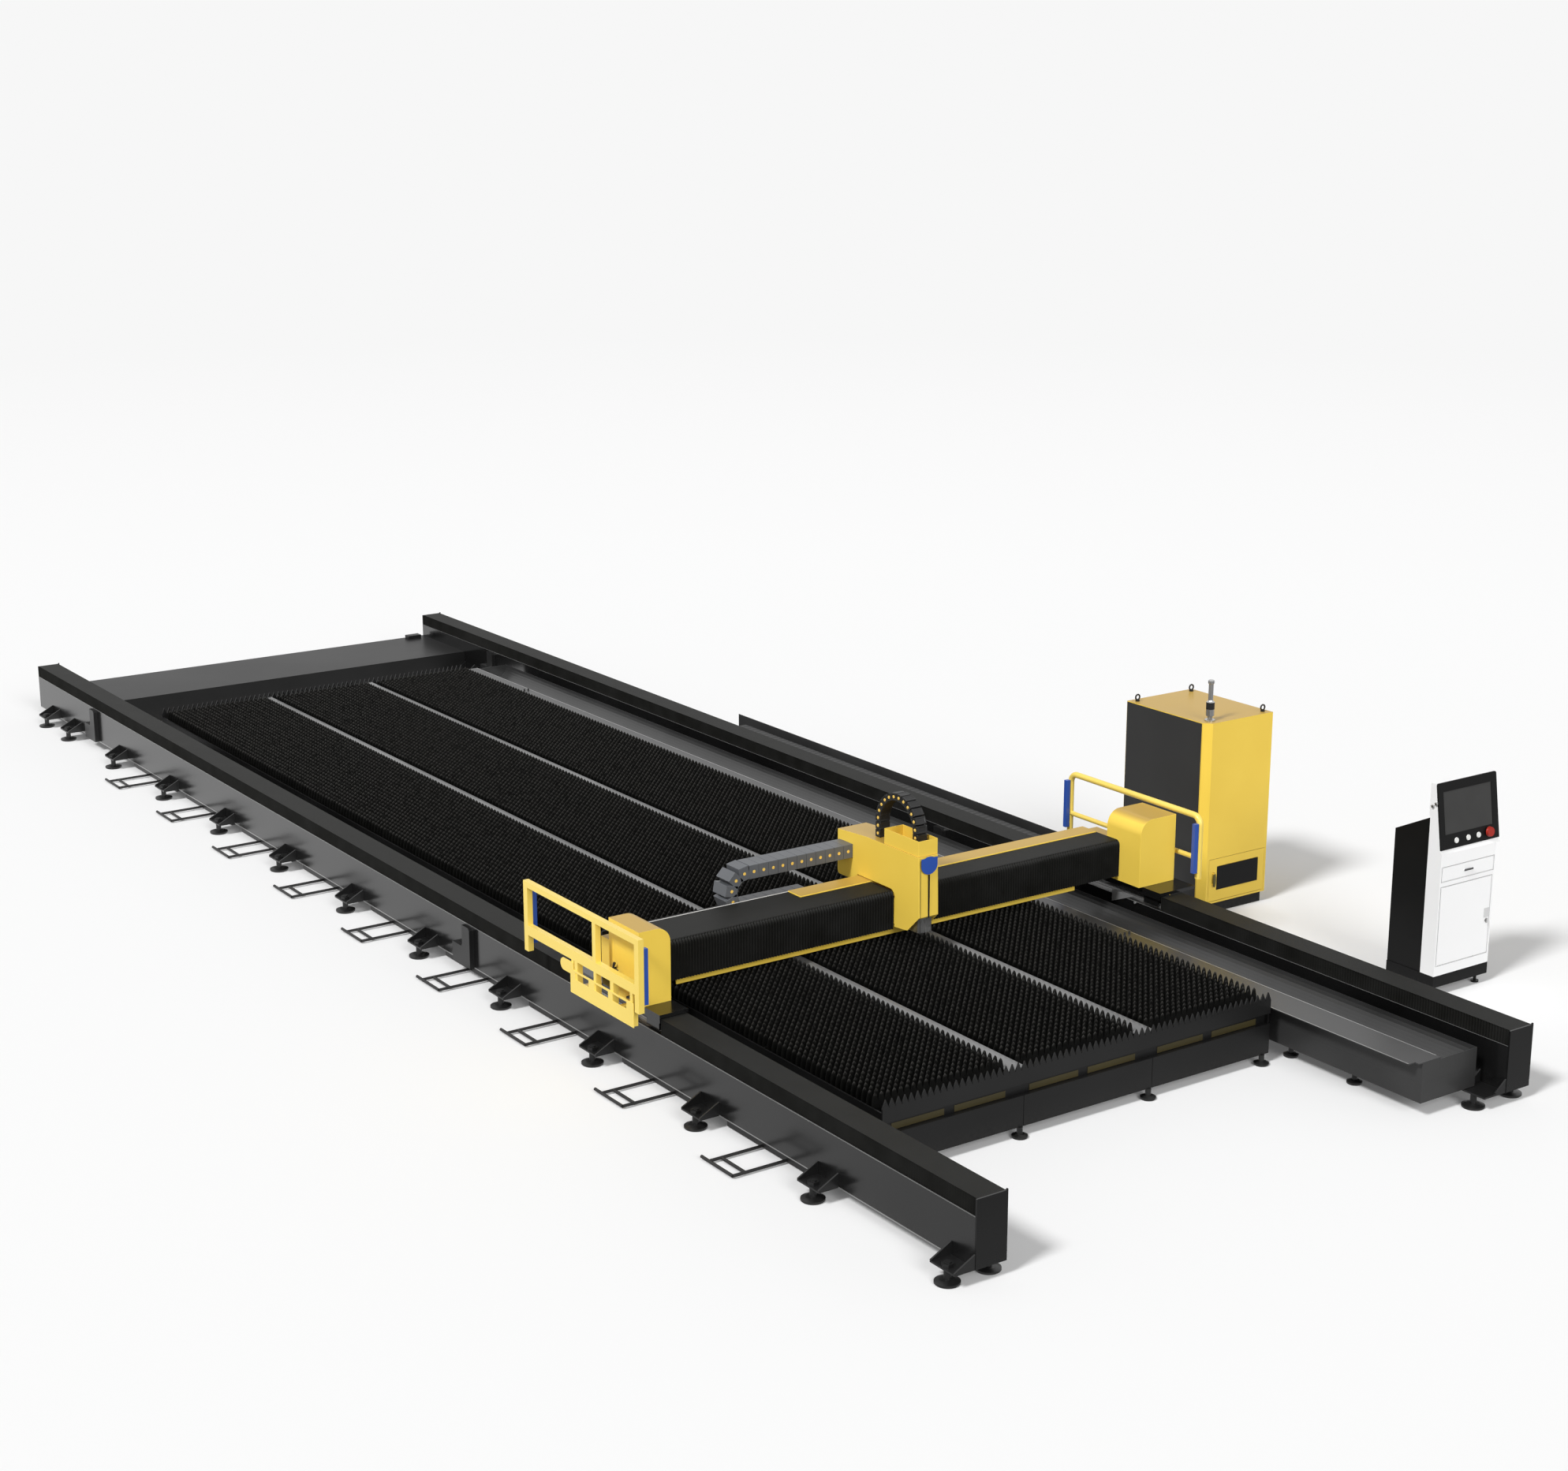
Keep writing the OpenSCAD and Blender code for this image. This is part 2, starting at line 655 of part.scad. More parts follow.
// Outline of a drag chain: a straight run of length a, a half turn of radius r and a straight run
// of length b back, cut into links by a notch on both sides of each joint.
// It starts at the origin along +X, and turns towards +Y.
function chain_at(s, a, r) = s < a ? [s, 0, 90] : s < a + PI * r
    ? let (t = (s - a) / r * 180 / PI) [a + r * sin(t), r - r * cos(t), 90 + t]
    : [a - (s - a - PI * r), 2 * r, 270];
function chain_point(s, a, r, off) = let (p = chain_at(s, a, r)) [p[0] + off * cos(p[2]), p[1] + off * sin(p[2])];
function chain_side(a, b, r, pitch, h, notch, gap) =
    let (length = a + PI * r + b, n = round(length / pitch), p = length / n)
    [for (i = [0:n - 1]) each [chain_point(i * p + (i == 0 ? 0 : gap), a, r, h),
        chain_point((i + 1) * p - (i == n - 1 ? 0 : gap), a, r, h),
        if (i < n - 1) chain_point((i + 1) * p - gap, a, r, h - sign(h) * notch),
        if (i < n - 1) chain_point((i + 1) * p + gap, a, r, h - sign(h) * notch)]];
module chain_profile(a, b, r, pitch, h) {
    polygon(concat(chain_side(a, b, r, pitch, h / 2, 9, 7), reversed(chain_side(a, b, r, pitch, -h / 2, 9, 7))));
}

// Long drag chain: from an arm under the right saddle to its bend and back to the trough's floor
y_chain_x = machine_w + 24;
arm_y = gantry_y + 853;
y_bend = trough_y + trough_l - 160;
y_return = 2900;
module y_drag_chain() {
    top = trough_z + trough_t + y_link_h / 2 + 2 * y_chain_r;
    color(chain_grey) placed() along_x(y_chain_x, y_chain_x + y_chain_w) translate([arm_y + 12, top])
        mirror([0, 1]) chain_profile(y_bend - y_chain_r - arm_y - 12, y_return, y_chain_r, y_link, y_link_h);
}

// Gantry beam: a closed box tube with a pedestal at each end, a top strip and a lower lip
beam_x1 = housing_w - 35;
right_cover_w = 365;
beam_x2 = rail_2 - 43;
pedestal_w = 150;
top_strip_x = 1650;
module gantry_beam() {
    color(yellow) placed() {
        difference() {
            block([beam_x1, beam_front, gantry_z], [beam_x2, beam_back, gantry_top]);
            block([beam_x1 + gantry_wall, beam_front + gantry_wall, gantry_z + gantry_wall],
                [beam_x2 - gantry_wall, beam_back - gantry_wall, gantry_top - gantry_wall]);
        }
        block([beam_x1 - pedestal_w, beam_front + 100, saddle_top], [beam_x1, beam_back, gantry_top]);
        block([beam_x2, beam_front + 100, saddle_top], [beam_x2 + pedestal_w, beam_back, gantry_top]);
        block([top_strip_x, beam_front + 204, gantry_top + weld], [beam_x2, beam_back, gantry_top + 30]);
        block([beam_x1 + 235, beam_front, tip_z + 8], [beam_x2 - 387, beam_front + 12, gantry_z]);
    }
}

// Saddles on the rails: plates with skirts, guide blocks astride the guides and closed drive motors
block_l = 160;
block_w = 86;
skirt_t = 8;
skirt_h = 35;
running = 0.4;
motor_y = gantry_y + 393;
module saddle(w) {
    y1 = gantry_y;
    y2 = gantry_y + saddle_l;
    block([0, y1, saddle_z], [w, y2, saddle_top]);
    block([0, y1, saddle_z - skirt_h], [skirt_t, y2, saddle_z]);
    for (y = [y1 + 50, y2 - 50 - block_l]) difference() {
        block([guide_x - block_w / 2, y, beam_top + 12], [guide_x + block_w / 2, y + block_l, saddle_z]);
        block([guide_x - guide_w / 2 - running, y - 1, beam_top], [guide_x + guide_w / 2 + running, y + block_l + 1,
            beam_top + guide_h + running]);
    }
    translate([rack_x, motor_y, saddle_top]) {
        block([-75, -75, 0], [75, 75, 40]);
        translate([0, 0, 40]) cylinder(d = motor_d, h = motor_h - 40);
    }
}
module saddles() {
    color(dark_steel) placed() {
        saddle(rail_w);
        translate([rail_2, 0, 0]) saddle(right_saddle_w);
        block([y_chain_x, arm_y, trough_z + trough_t + 2 * y_chain_r], [y_chain_x + 80, arm_y + 12, saddle_z]);
    }
}

// End housings: sheet shells with one rounded top edge, open below
module rounded_shell(w, h, r, t) {
    difference() {
        polygon(concat([[0, 0], [w, 0]], arc([w - r, h - r], r, 0, 90), [[0, h]]));
        polygon(concat([[t, -1], [w - t, -1]], arc([w - r, h - r], r - t, 0, 90), [[t, h - t]]));
    }
}
module end_housing(w, h, r, y1, y2) {
    t = housing_t;
    along_y(y1 + t, y2 - t) rounded_shell(w, h, r, t);
    for (y = [y1, y2 - t]) along_y(y, y + t) polygon(concat([[0, 0], [w, 0]], arc([w - r, h - r], r, 0, 90), [[0, h]]));
}
housing_y = gantry_y + 196;
housing_back = housing_y + 397;
housing_over = 35;
module left_housing() {
    color(yellow) placed() translate([-housing_over, 0, saddle_top]) difference() {
        end_housing(housing_w, housing_h, 110, housing_y, housing_back);
        block([-1, housing_y + 60, 60], [2, housing_back - 50, housing_h - 130]);
    }
}
module right_motor_cover() {
    color(yellow) placed() translate([beam_x2 + right_cover_w, 0, saddle_top]) mirror([1, 0, 0])
        end_housing(right_cover_w, housing_h + 2, 120, housing_y, housing_back - 10);
}

// Guards: square tubes with a skirt on the left, a bent round tube on the right
guard_y1 = gantry_y - 31;
guard_l = 1564;
guard_y2 = guard_y1 + guard_l;
stay_y = [gantry_y + 303, gantry_y + 783];
right_stay_y = [stay_y[0], stay_y[0] + 600];
middle_post_y = gantry_y + 531;
post_d = 54;
post_z = 620;
rail_low = 745;
rail_low_h = 73;
skirt_y1 = gantry_y + 33;
skirt_y2 = gantry_y + 873;
skirt_sheet = 6;
module left_guard() {
    a = -guard_out - guard_tube;
    b = -guard_out;
    block([a, guard_y1, post_z], [b, guard_y1 + post_d, guard_top]);
    block([a, guard_y2 - post_d, post_z], [b, guard_y2, guard_top]);
    for (z = [[guard_top - guard_tube, guard_top], [rail_low, rail_low + rail_low_h]])
        block([a, guard_y1 + post_d, z[0]], [b, guard_y2 - post_d, z[1]]);
    block([a, middle_post_y, rail_low + rail_low_h], [b, middle_post_y + guard_tube, guard_top - guard_tube]);
    for (y = [skirt_y1 + 20, middle_post_y, skirt_y2 - 40]) block([a, y, saddle_z - 35], [b, y + 32, rail_low]);
    difference() {
        block([a - skirt_sheet, skirt_y1, saddle_z - 35], [a, skirt_y2, 680]);
        for (y = [skirt_y1 + 90, skirt_y1 + 330, skirt_y1 + 590]) block([a - skirt_sheet - 1, y, 615], [a + 1, y + 180, 665]);
    }
    along_x(a - skirt_sheet, a) translate([skirt_y2 + 90, 685]) union() {
        circle(d = 90);
        translate([-130, -45]) square([130, 90]);
    }
    for (y = stay_y) {
        block([b, y, saddle_z + 5], [0, y + 40, saddle_top - 5]);
        block([a, y, saddle_z + 5], [b, y + 40, rail_low]);
    }
}
tube_bend = 70;
right_low = 782;
module right_guard() {
    d = round_tube;
    z1 = guard_top - d / 2;
    y1 = guard_y1 + d / 2;
    y2 = guard_y2 - d / 2;
    for (y = [y1, y2]) translate([0, y, post_z]) cylinder(d = d, h = z1 - tube_bend - post_z);
    translate([0, y1 + tube_bend, z1]) rotate([-90, 0, 0]) cylinder(d = d, h = y2 - y1 - 2 * tube_bend);
    translate([0, y1 + tube_bend, z1 - tube_bend]) rotate([0, 90, 0]) rotate(180)
        rotate_extrude(angle = 90) translate([tube_bend, 0]) circle(d = d);
    translate([0, y2 - tube_bend, z1 - tube_bend]) rotate([0, 90, 0]) rotate(90)
        rotate_extrude(angle = 90) translate([tube_bend, 0]) circle(d = d);
    translate([0, y1, right_low]) rotate([-90, 0, 0]) cylinder(d = d * 0.8, h = y2 - y1);
    for (y = right_stay_y) {
        translate([0, y, saddle_z + 6]) cylinder(d = d * 0.8, h = right_low - saddle_z - 6);
        block([-d / 2, y - 18, saddle_z + 6], [0, y + 18, saddle_top - 4]);
    }
}
right_guard_x = rail_2 + right_saddle_w + round_tube / 2;
module guards() {
    color(yellow) placed() {
        left_guard();
        translate([right_guard_x, 0, 0]) right_guard();
    }
}

// Light curtains on the inner sides of the guard posts
curtain_z = 670;
module light_curtains() {
    color(blue) placed() for (y = [guard_y1 + 9, guard_y2 - 45]) {
        block([-guard_out, y, curtain_z], [curtain_w - guard_out, y + 36, curtain_z + curtain_h]);
        block([right_guard_x - round_tube / 2 - curtain_w, y, curtain_z],
            [right_guard_x - round_tube / 2, y + 36, curtain_z + curtain_h]);
    }
}

// Folded covers over the beam's front, one on each side of the carriage
front_cover_y = beam_front - 72;
front_cover_z = gantry_z - 10;
front_cover_top = gantry_top + 23;
cover_round = 40;
beam_fold = 60;
module beam_cover(x1, x2) {
    folds = 2 * round((x2 - x1) / beam_fold);
    line = [for (p = zigzag(front_cover_y, front_cover_y + fold_depth, x1, x2, folds)) [p[1], p[0]]];
    inner = [for (p = line) [p[0], p[1] + fold_skin]];
    c = [front_cover_y + cover_round, front_cover_top - cover_round];
    translate([0, 0, front_cover_z]) linear_extrude(front_cover_top - cover_round - front_cover_z)
        polygon(concat(line, reversed(inner)));
    along_x(x1, x2) polygon(concat([[beam_front + 200, front_cover_top]], arc(c, cover_round, 90, 180),
        reversed(arc(c, cover_round - fold_skin, 90, 180)), [[beam_front + 200, front_cover_top - fold_skin]]));
}
module beam_bellows() {
    color(fold_black) placed() {
        beam_cover(beam_x1, carriage_x);
        beam_cover(carriage_x + nose_w, beam_x2);
    }
}

// Cross drag chain behind the beam: from the carriage to its bend and back to its tray
x_chain_y = beam_back + 66;
x_bend = 1150;
x_return_end = 1900;
tray_z = gantry_z + 121;
tray_t = 4;
x_chain_low = tray_z + tray_t + 2 + x_link_h / 2;
module x_drag_chain() {
    start = carriage_x - x_bend - x_link_h / 2 - x_chain_r;
    back = x_return_end - x_bend - x_link_h / 2 - x_chain_r;
    color(chain_grey) placed() translate([carriage_x, 0, x_chain_low + 2 * x_chain_r])
        along_y(x_chain_y, x_chain_y + x_chain_w) mirror([0, 1]) mirror([1, 0])
            chain_profile(start, back, x_chain_r, x_link, x_link_h);
}

// Tray for the cross drag chain, bolted to the back of the beam
tray_w = 247;
tray_h = 69;
module chain_tray() {
    color(dark_steel) placed() {
        block([beam_x1, beam_back, tray_z], [x_return_end + 60, beam_back + tray_w, tray_z + tray_t]);
        block([beam_x1, beam_back + tray_w - tray_t, tray_z + tray_t], [x_return_end + 60, beam_back + tray_w, tray_z + tray_h]);
        for (x = [beam_x1 + 60:420:x_return_end]) along_x(x, x + 8)
            polygon([[beam_back, tray_z], [beam_back, tray_z - 90], [beam_back + tray_w - 20, tray_z]]);
    }
}

// Guides and rack bar on the front of the beam
x_guide_w = 34;
x_guide_h = 30;
x_guide_z = [gantry_z + 60, gantry_z + 200];
module x_guides() {
    color(bright_steel) placed() {
        for (z = x_guide_z) translate([0, beam_front, z]) along_x(beam_x1 + 25, beam_x2 - 17)
            rotate(90) guide_profile(x_guide_w, x_guide_h);
        block([beam_x1 + 25, beam_front - rack_side, gantry_z + 112], [beam_x2 - 17, beam_front, gantry_z + 112 + rack_side]);
    }
}

// Carriage: a nose in front of the beam and a body over and behind it, in one sheet shell,
// with a slide plate and guide blocks at its back
nose_y = beam_front - 366;
nose_back = beam_front - 85;
nose_z = gantry_z + 28;
carriage_top = saddle_top + 660;
body_back = beam_back + 260;
over_beam = gantry_top + 35;
function carriage_outline() = concat(
    [[nose_y, carriage_top], [beam_front + 260, carriage_top], [body_back, carriage_top - 25], [body_back, gantry_top + 10]],
    arc([body_back - 30, gantry_top + 10], 30, 0, -90, 4),
    [[beam_back + 22, gantry_top - 20], [beam_back + 12, gantry_top - 10], [beam_back + 12, over_beam]],
    arc([nose_back + 55, over_beam - 55], 55, 90, 180, 6),
    [[nose_back, nose_z - 16], [nose_back - 159, nose_z], [nose_y - 14, nose_z + 132]]);
cable_hole_y = [nose_y + 76, nose_y + 181];
cable_hole_x = [62, 157];
z_guide_w = 110;
module carriage_body() {
    t = carriage_t;
    x1 = carriage_x;
    x2 = carriage_x + nose_w;
    x3 = carriage_x + body_w;
    color(yellow) placed() {
        difference() {
            union() {
                along_x(x1, x2) polygon(carriage_outline());
                along_x(x2, x3) intersection() {
                    polygon(carriage_outline());
                    translate([beam_front - 20, 0]) square([1200, 2000]);
                }
            }
            along_x(x1 + t, x2 - t) polygon([[nose_y - 5, gantry_z - 40], [nose_y + t, carriage_top - t],
                [nose_back - t, carriage_top - t], [nose_back - t, gantry_z - 40]]);
            block([x1 + t, nose_back + t, over_beam + t], [x3 - t, body_back - t, carriage_top - 25 - t]);
            block([x1 + cable_hole_x[0], cable_hole_y[0], carriage_top - t - 1], [x1 + cable_hole_x[1], cable_hole_y[1], carriage_top + 1]);
        }
        block([x1 + nose_w / 2 - z_guide_w / 2, nose_back - t - 87, gantry_z + 90],
            [x1 + nose_w / 2 + z_guide_w / 2, nose_back - t, saddle_top + 585]);
        block([x1 + t, nose_back, gantry_z + 30], [x2 - t, nose_back + 27, gantry_z + 230]);
        for (z = x_guide_z) for (x = [x1 + 12, x2 - 84]) difference() {
            block([x, nose_back + 27, z - 28], [x + 72, beam_front - 12, z + 28]);
            block([x - 1, beam_front - x_guide_h - running, z - x_guide_w / 2 - running],
                [x + 73, beam_front, z + x_guide_w / 2 + running]);
        }
    }
}

// Open box on the carriage that guides the small drag chain
module z_box() {
    y1 = nose_y + 11;
    y2 = beam_front + 60;
    x1 = carriage_x + 9;
    x2 = carriage_x + 182;
    color(yellow) placed() difference() {
        block([x1, y1, carriage_top], [x2, y2, carriage_top + box_h]);
        block([x1 + box_t, y1 + box_t, carriage_top + box_t], [x2 - box_t, y2 - box_t, carriage_top + box_h + 1]);
        block([carriage_x + cable_hole_x[0], cable_hole_y[0], carriage_top - 1],
            [carriage_x + cable_hole_x[1], cable_hole_y[1], carriage_top + box_t + 1]);
    }
}

// Small drag chain: from the slide's arm up over a half turn and down to the top of the carriage
z_chain_y = nose_y + 131;
z_chain_x = carriage_x + 64;
z_chain_low = carriage_top + 15;
z_chain_turn = carriage_top + 134;
module z_drag_chain() {
    a = z_chain_turn - z_chain_low;
    b = z_chain_turn - carriage_top;
    color(near_black) placed() along_x(z_chain_x, z_chain_x + z_chain_w) translate([z_chain_y, z_chain_low])
        rotate(90) mirror([0, 1]) chain_profile(a, b, z_chain_r, 84, z_link_h);
}

// Vertical slide in the nose, with an arm up to the small drag chain
slide_t = 51;
slide_front = nose_back - carriage_t - 87 - 0.5 - slide_t;
slide_top = saddle_top + 525;
module z_slide() {
    x = carriage_x + nose_w / 2;
    color(bright_steel) placed() {
        block([x - 65, slide_front, gantry_z + 90], [x + 65, slide_front + slide_t, slide_top]);
        block([x - 20, z_chain_y + z_link_h / 2 + 1, slide_top], [x + 45, z_chain_y + z_link_h / 2 + 9, z_chain_low + 10]);
    }
}

// Cutting head on the slide: a block with a barrel above it and a nozzle below it
head_z = gantry_z + 30;
nozzle_z = gantry_z - 10;
module cutting_head() {
    x = carriage_x + nose_w / 2;
    y = slide_front - 60;
    color(near_black) placed() {
        difference() {
            block([x - head_w / 2, slide_front - 118, head_z], [x + head_w / 2, slide_front, head_z + 120]);
            for (s = [-1, 1]) translate([x + s * head_w / 2, slide_front - 118, head_z - 1]) rotate(45)
                cube([24, 24, 260], center = true);
        }
        translate([x, y, 0]) rotate_extrude() polygon([[0, nozzle_z], [6, nozzle_z], [14, nozzle_z + 14],
            [27, nozzle_z + 22], [34, head_z], [0, head_z]]);
        translate([x, y, head_z + 120]) {
            cylinder(d = barrel_d, h = 210);
            translate([0, 0, 210]) cylinder(d = barrel_d * 0.62, h = 46);
        }
    }
}

// One slag drawer: a pan with a rim that hangs on its runners, skids and a ladder handle
pan_x1 = 60;
pan_x2 = bed_end - 4;
rim_t = 4;
rim_gap = 0.3;
pan_top = runner_z + runner_t + rim_gap + rim_t;
handle_z = 22;
module slag_drawer(k) {
    t = pan_wall;
    h = pan_w / 2;
    bar = 136;
    outer_end = 225;
    cross_in = -handle_reach + 94;
    color(dark_steel) placed() translate([0, bed_y + (k + 0.5) * bay_l, 0]) {
        difference() {
            union() {
                block([pan_x1, -h, pan_z], [pan_x2, h, pan_top]);
                block([pan_x1, -h - pan_rim, pan_top - rim_t], [pan_x2, h + pan_rim, pan_top]);
            }
            block([pan_x1 + t, -h + t, pan_z + t], [pan_x2 - t, h - t, pan_top + 1]);
        }
        for (s = [-1, 1]) block([pan_x1 + 40, s * (h - 60) - 15, 3], [pan_x2 - 40, s * (h - 60) + 15, pan_z]);
        for (s = [-1, 1]) translate([-handle_reach, s * bar, handle_z]) rotate([0, 90, 0])
            cylinder(d = handle_d, h = handle_reach + pan_x1);
        translate([-handle_reach, -bar, handle_z]) rotate([-90, 0, 0]) cylinder(d = handle_d, h = bar + outer_end);
        translate([cross_in, -bar, handle_z]) rotate([-90, 0, 0]) cylinder(d = handle_d, h = 2 * bar);
    }
}

// Pivot of a door, with its axis on the line x = y = 0: a bored lug on the frame, a pin on the door
pivot = 7;
pin_d = 6;
pin_l = 10;
module pivot_lug(reach) {
    difference() {
        block([-reach, sheet_t - pivot, 0], [reach + 8, 12, pin_l + 3]);
        translate([0, 0, -1]) cylinder(d = pin_d + 2 * fit, h = pin_l + 6);
    }
}

// Control cabinet: a sheet shell with a chamfered corner, a door opening below and side buttons
cabinet_y = gantry_y + 615;
cab_door_x = 84;
cab_door_w = cabinet_w - cab_door_x - 20;
cab_door_z = 20;
shelf_z = 490;
side_button_y = cabinet_y + 128;
side_buttons = [[1439, 48, 12], [1390, 32, 8], [1331, 32, 8]];
module cabinet_plan(t) {
    c = cabinet_chamfer;
    k = c + t * (sqrt(2) - 1);
    polygon([[t, k], [k, t], [cabinet_w - t, t], [cabinet_w - t, cabinet_d - t], [t, cabinet_d - t]]);
}
module eye_bolt() {
    cylinder(d = 34, h = 10);
    translate([0, 0, 34]) rotate([90, 0, 0]) rotate_extrude() translate([22, 0]) circle(d = 12, $fn = 24);
}
module cabinet_shell() {
    top = plinth_h + cabinet_h;
    color(yellow) placed() translate([cabinet_x, cabinet_y, 0]) {
        difference() {
            union() {
                translate([0, 0, plinth_h]) linear_extrude(cabinet_h) cabinet_plan(0);
                for (b = side_buttons) translate([cabinet_w, side_button_y - cabinet_y, b[0]]) rotate([0, 90, 0])
                    cylinder(d = b[1], h = b[2]);
            }
            translate([0, 0, plinth_h + sheet_t]) linear_extrude(shelf_z - plinth_h - sheet_t) cabinet_plan(sheet_t);
            translate([0, 0, shelf_z + sheet_t]) linear_extrude(top - shelf_z - 2 * sheet_t) cabinet_plan(sheet_t);
            block([cab_door_x - door_gap, -1, plinth_h + cab_door_z - door_gap],
                [cab_door_x + cab_door_w + door_gap, sheet_t + 1, plinth_h + cab_door_z + cab_door_h + door_gap]);
            for (b = side_buttons) translate([cabinet_w - 20, side_button_y - cabinet_y, b[0]]) rotate([0, 90, 0])
                cylinder(d = b[1] - 14, h = 60);
        }
        for (p = [[60, cabinet_d - 60], [cabinet_w - 60, cabinet_d - 60], [cabinet_w - 60, 60]])
            translate([p[0], p[1], top]) eye_bolt();
        for (s = [0, 1]) translate([cab_door_x + cab_door_w - pivot, pivot, plinth_h + cab_door_z + s * cab_door_h])
            mirror([0, 0, 1 - s]) translate([0, 0, fit]) pivot_lug(9);
    }
}

// Recessed plinth under the cabinet, a ring of folded sheet
module cabinet_plinth() {
    color(near_black) placed() translate([cabinet_x, cabinet_y, 0]) difference() {
        block([22, 28, 0], [cabinet_w - 20, cabinet_d - 28, plinth_h]);
        block([42, 48, -1], [cabinet_w - 40, cabinet_d - 48, plinth_h + 1]);
    }
}

// Signal mast on the cabinet's front corner: a foot, a lamp barrel and a slim top tube
module signal_mast() {
    color(bright_steel) placed() translate([cabinet_x + 95, cabinet_y + 80, plinth_h + cabinet_h]) {
        rotate_extrude() polygon([[0, 0], [42, 0], [42, 12], [22, 24], [22, 40], [34, 46], [34, 158], [24, 166],
            [20, 174], [20, mast_h - 34], [26, mast_h - 26], [26, mast_h - 6], [20, mast_h], [0, mast_h]]);
    }
}

// Door of the cabinet, hinged at its right edge, with louvres and a pull handle
louvres = 11;
vent = [92, 102, cab_door_w - 75, cab_door_h - 62];
module cabinet_door() {
    z1 = plinth_h + cab_door_z;
    pitch = (vent[3] - vent[1]) / louvres;
    color(yellow) placed() translate([cabinet_x + cab_door_x, cabinet_y, z1]) {
        difference() {
            cube([cab_door_w, door_t, cab_door_h]);
            for (i = [0:louvres - 1]) block([vent[0], -1, vent[1] + i * pitch + 4],
                [vent[2], door_t + 1, vent[1] + (i + 1) * pitch - 4]);
        }
        block([40, -22, 141], [56, -14, 246]);
        for (z = [141, 234]) block([40, -14, z], [56, 0, z + 12]);
        for (s = [0, 1]) translate([cab_door_w - pivot, pivot, s * cab_door_h]) mirror([0, 0, 1 - s])
            cylinder(d = pin_d, h = pin_l);
    }
}

// Push button along +X: its head in front, its stem behind, in a collar of bore d
module push_button(head_d, head_h, stem_d, stem_l) {
    rotate([0, 90, 0]) {
        cylinder(d = head_d, h = head_h);
        translate([0, 0, -stem_l]) cylinder(d = stem_d, h = stem_l);
    }
}
module side_button(i, head_d, head_h) {
    b = side_buttons[i];
    stem = side_button_reach - head_h - 2;
    translate([cabinet_x + cabinet_w + side_button_reach - head_h, side_button_y, b[0]])
        push_button(head_d, head_h, b[1] - 14 - 2 * fit, stem);
}
module cabinet_estop() {
    color(red) placed() side_button(0, 42, 18);
}
module cabinet_button_1() {
    color(near_black) placed() translate([-19, 0, 0]) side_button(1, 18 - 2 * fit, 8);
}
module cabinet_button_2() {
    color(near_black) placed() translate([-19, 0, 0]) side_button(2, 18 - 2 * fit, 8);
}

// Console: base on four feet, column with its cable space, front body with a leaning head
console_y = bed_y + 216;
console_top = base_z + base_h;
column_inset = 5;
module console_base() {
    d = console_d + column_d;
    color(near_black) placed() translate([console_x, console_y, 0]) {
        block([0, 0, base_z], [console_w, d, console_top]);
        for (x = [60, console_w - 60]) for (y = [60, d - 60]) translate([x, y, 0]) {
            cylinder(d = 60, h = 14);
            cylinder(d = 24, h = base_z);
        }
    }
}
drawer_ledge = 26;
ledge_l = 300;
drawer_z = base_z + 831;
drawer_h = 105;
drawer_x = 20;
drawer_w = console_w - drawer_x - 17;
column_front_h = 1211;
column_rear_h = 1047;
module console_column() {
    t = sheet_t;
    y1 = console_y + console_d;
    y2 = y1 + column_d;
    a = column_inset + t + weld;
    b = console_w - a;
    under_top = column_rear_h - t;
    color(near_black) placed() translate([console_x, 0, console_top]) {
        for (x = [column_inset, console_w - column_inset - t]) along_x(x, x + t)
            polygon([[y1, 0], [y2, 0], [y2, column_rear_h], [y1, column_front_h]]);
        block([a, y1, 0], [b, y2 - t - weld, t]);
        block([a, y2 - t, 0], [b, y2, under_top - weld]);
        along_x(a, b) polygon([[y1, column_front_h - t], [y2, under_top], [y2, column_rear_h], [y1, column_front_h]]);
    }
    color(near_black) placed() for (x = [a, b - drawer_ledge])
        block([console_x + x, y1, drawer_z - 14], [console_x + x + drawer_ledge, y1 + ledge_l, drawer_z - door_gap]);
}

// Front body: a sheet shell with openings for the drawer and the door, closed in its head.
// The head's face starts at z = face_z and leans back.
face_z = base_z + 1069;
face_y = console_y + 21;
door_x = 20;
door_z = base_z + 173;
door_w = console_w - door_x - 26;
door_h = 610;
face_top_y = face_y + face_l * sin(lean);
face_top_z = face_z + face_l * cos(lean);
head_back = console_y + 143;
module console_housing() {
    t = sheet_t;
    y1 = console_y;
    y2 = console_y + console_d;
    split = face_z - 30;
    color(white) placed() translate([console_x, 0, 0]) difference() {
        union() {
            block([0, y1, console_top], [console_w, y2, split]);
            along_x(0, head_plate_w) polygon([[y1, split], [face_y, face_z], [face_top_y, face_top_z],
                [head_back, face_top_z - 3], [head_back, face_z + 262], [y2, face_z + 232], [y2, split]]);
        }
        block([t, y1 + t, console_top + t], [console_w - t, y2 + 1, drawer_z - 12]);
        block([drawer_x - door_gap, y1 - 1, drawer_z - door_gap], [drawer_x + drawer_w + door_gap, y2 + 1, drawer_z + drawer_h + door_gap]);
        block([door_x - door_gap, y1 - 1, door_z - door_gap], [door_x + door_w + door_gap, y1 + t + 1, door_z + door_h + door_gap]);
        along_x(t, head_plate_w - t) polygon([[y1 + 26, split + t], [face_top_y + 17, face_top_z - 8],
            [head_back - t, face_top_z - 8], [head_back - t, face_z + 266], [y2 - t, face_z + 236], [y2 - t, split + t]]);
        on_face() for (b = face_buttons) translate([b[0], b[1], -1]) cylinder(d = b[2], h = 60);
    }
    color(white) placed() for (s = [0, 1]) translate([console_x + door_x + pivot, console_y + pivot, door_z + s * door_h])
        mirror([0, 0, 1 - s]) translate([0, 0, fit]) mirror([1, 0, 0]) pivot_lug(9);
}

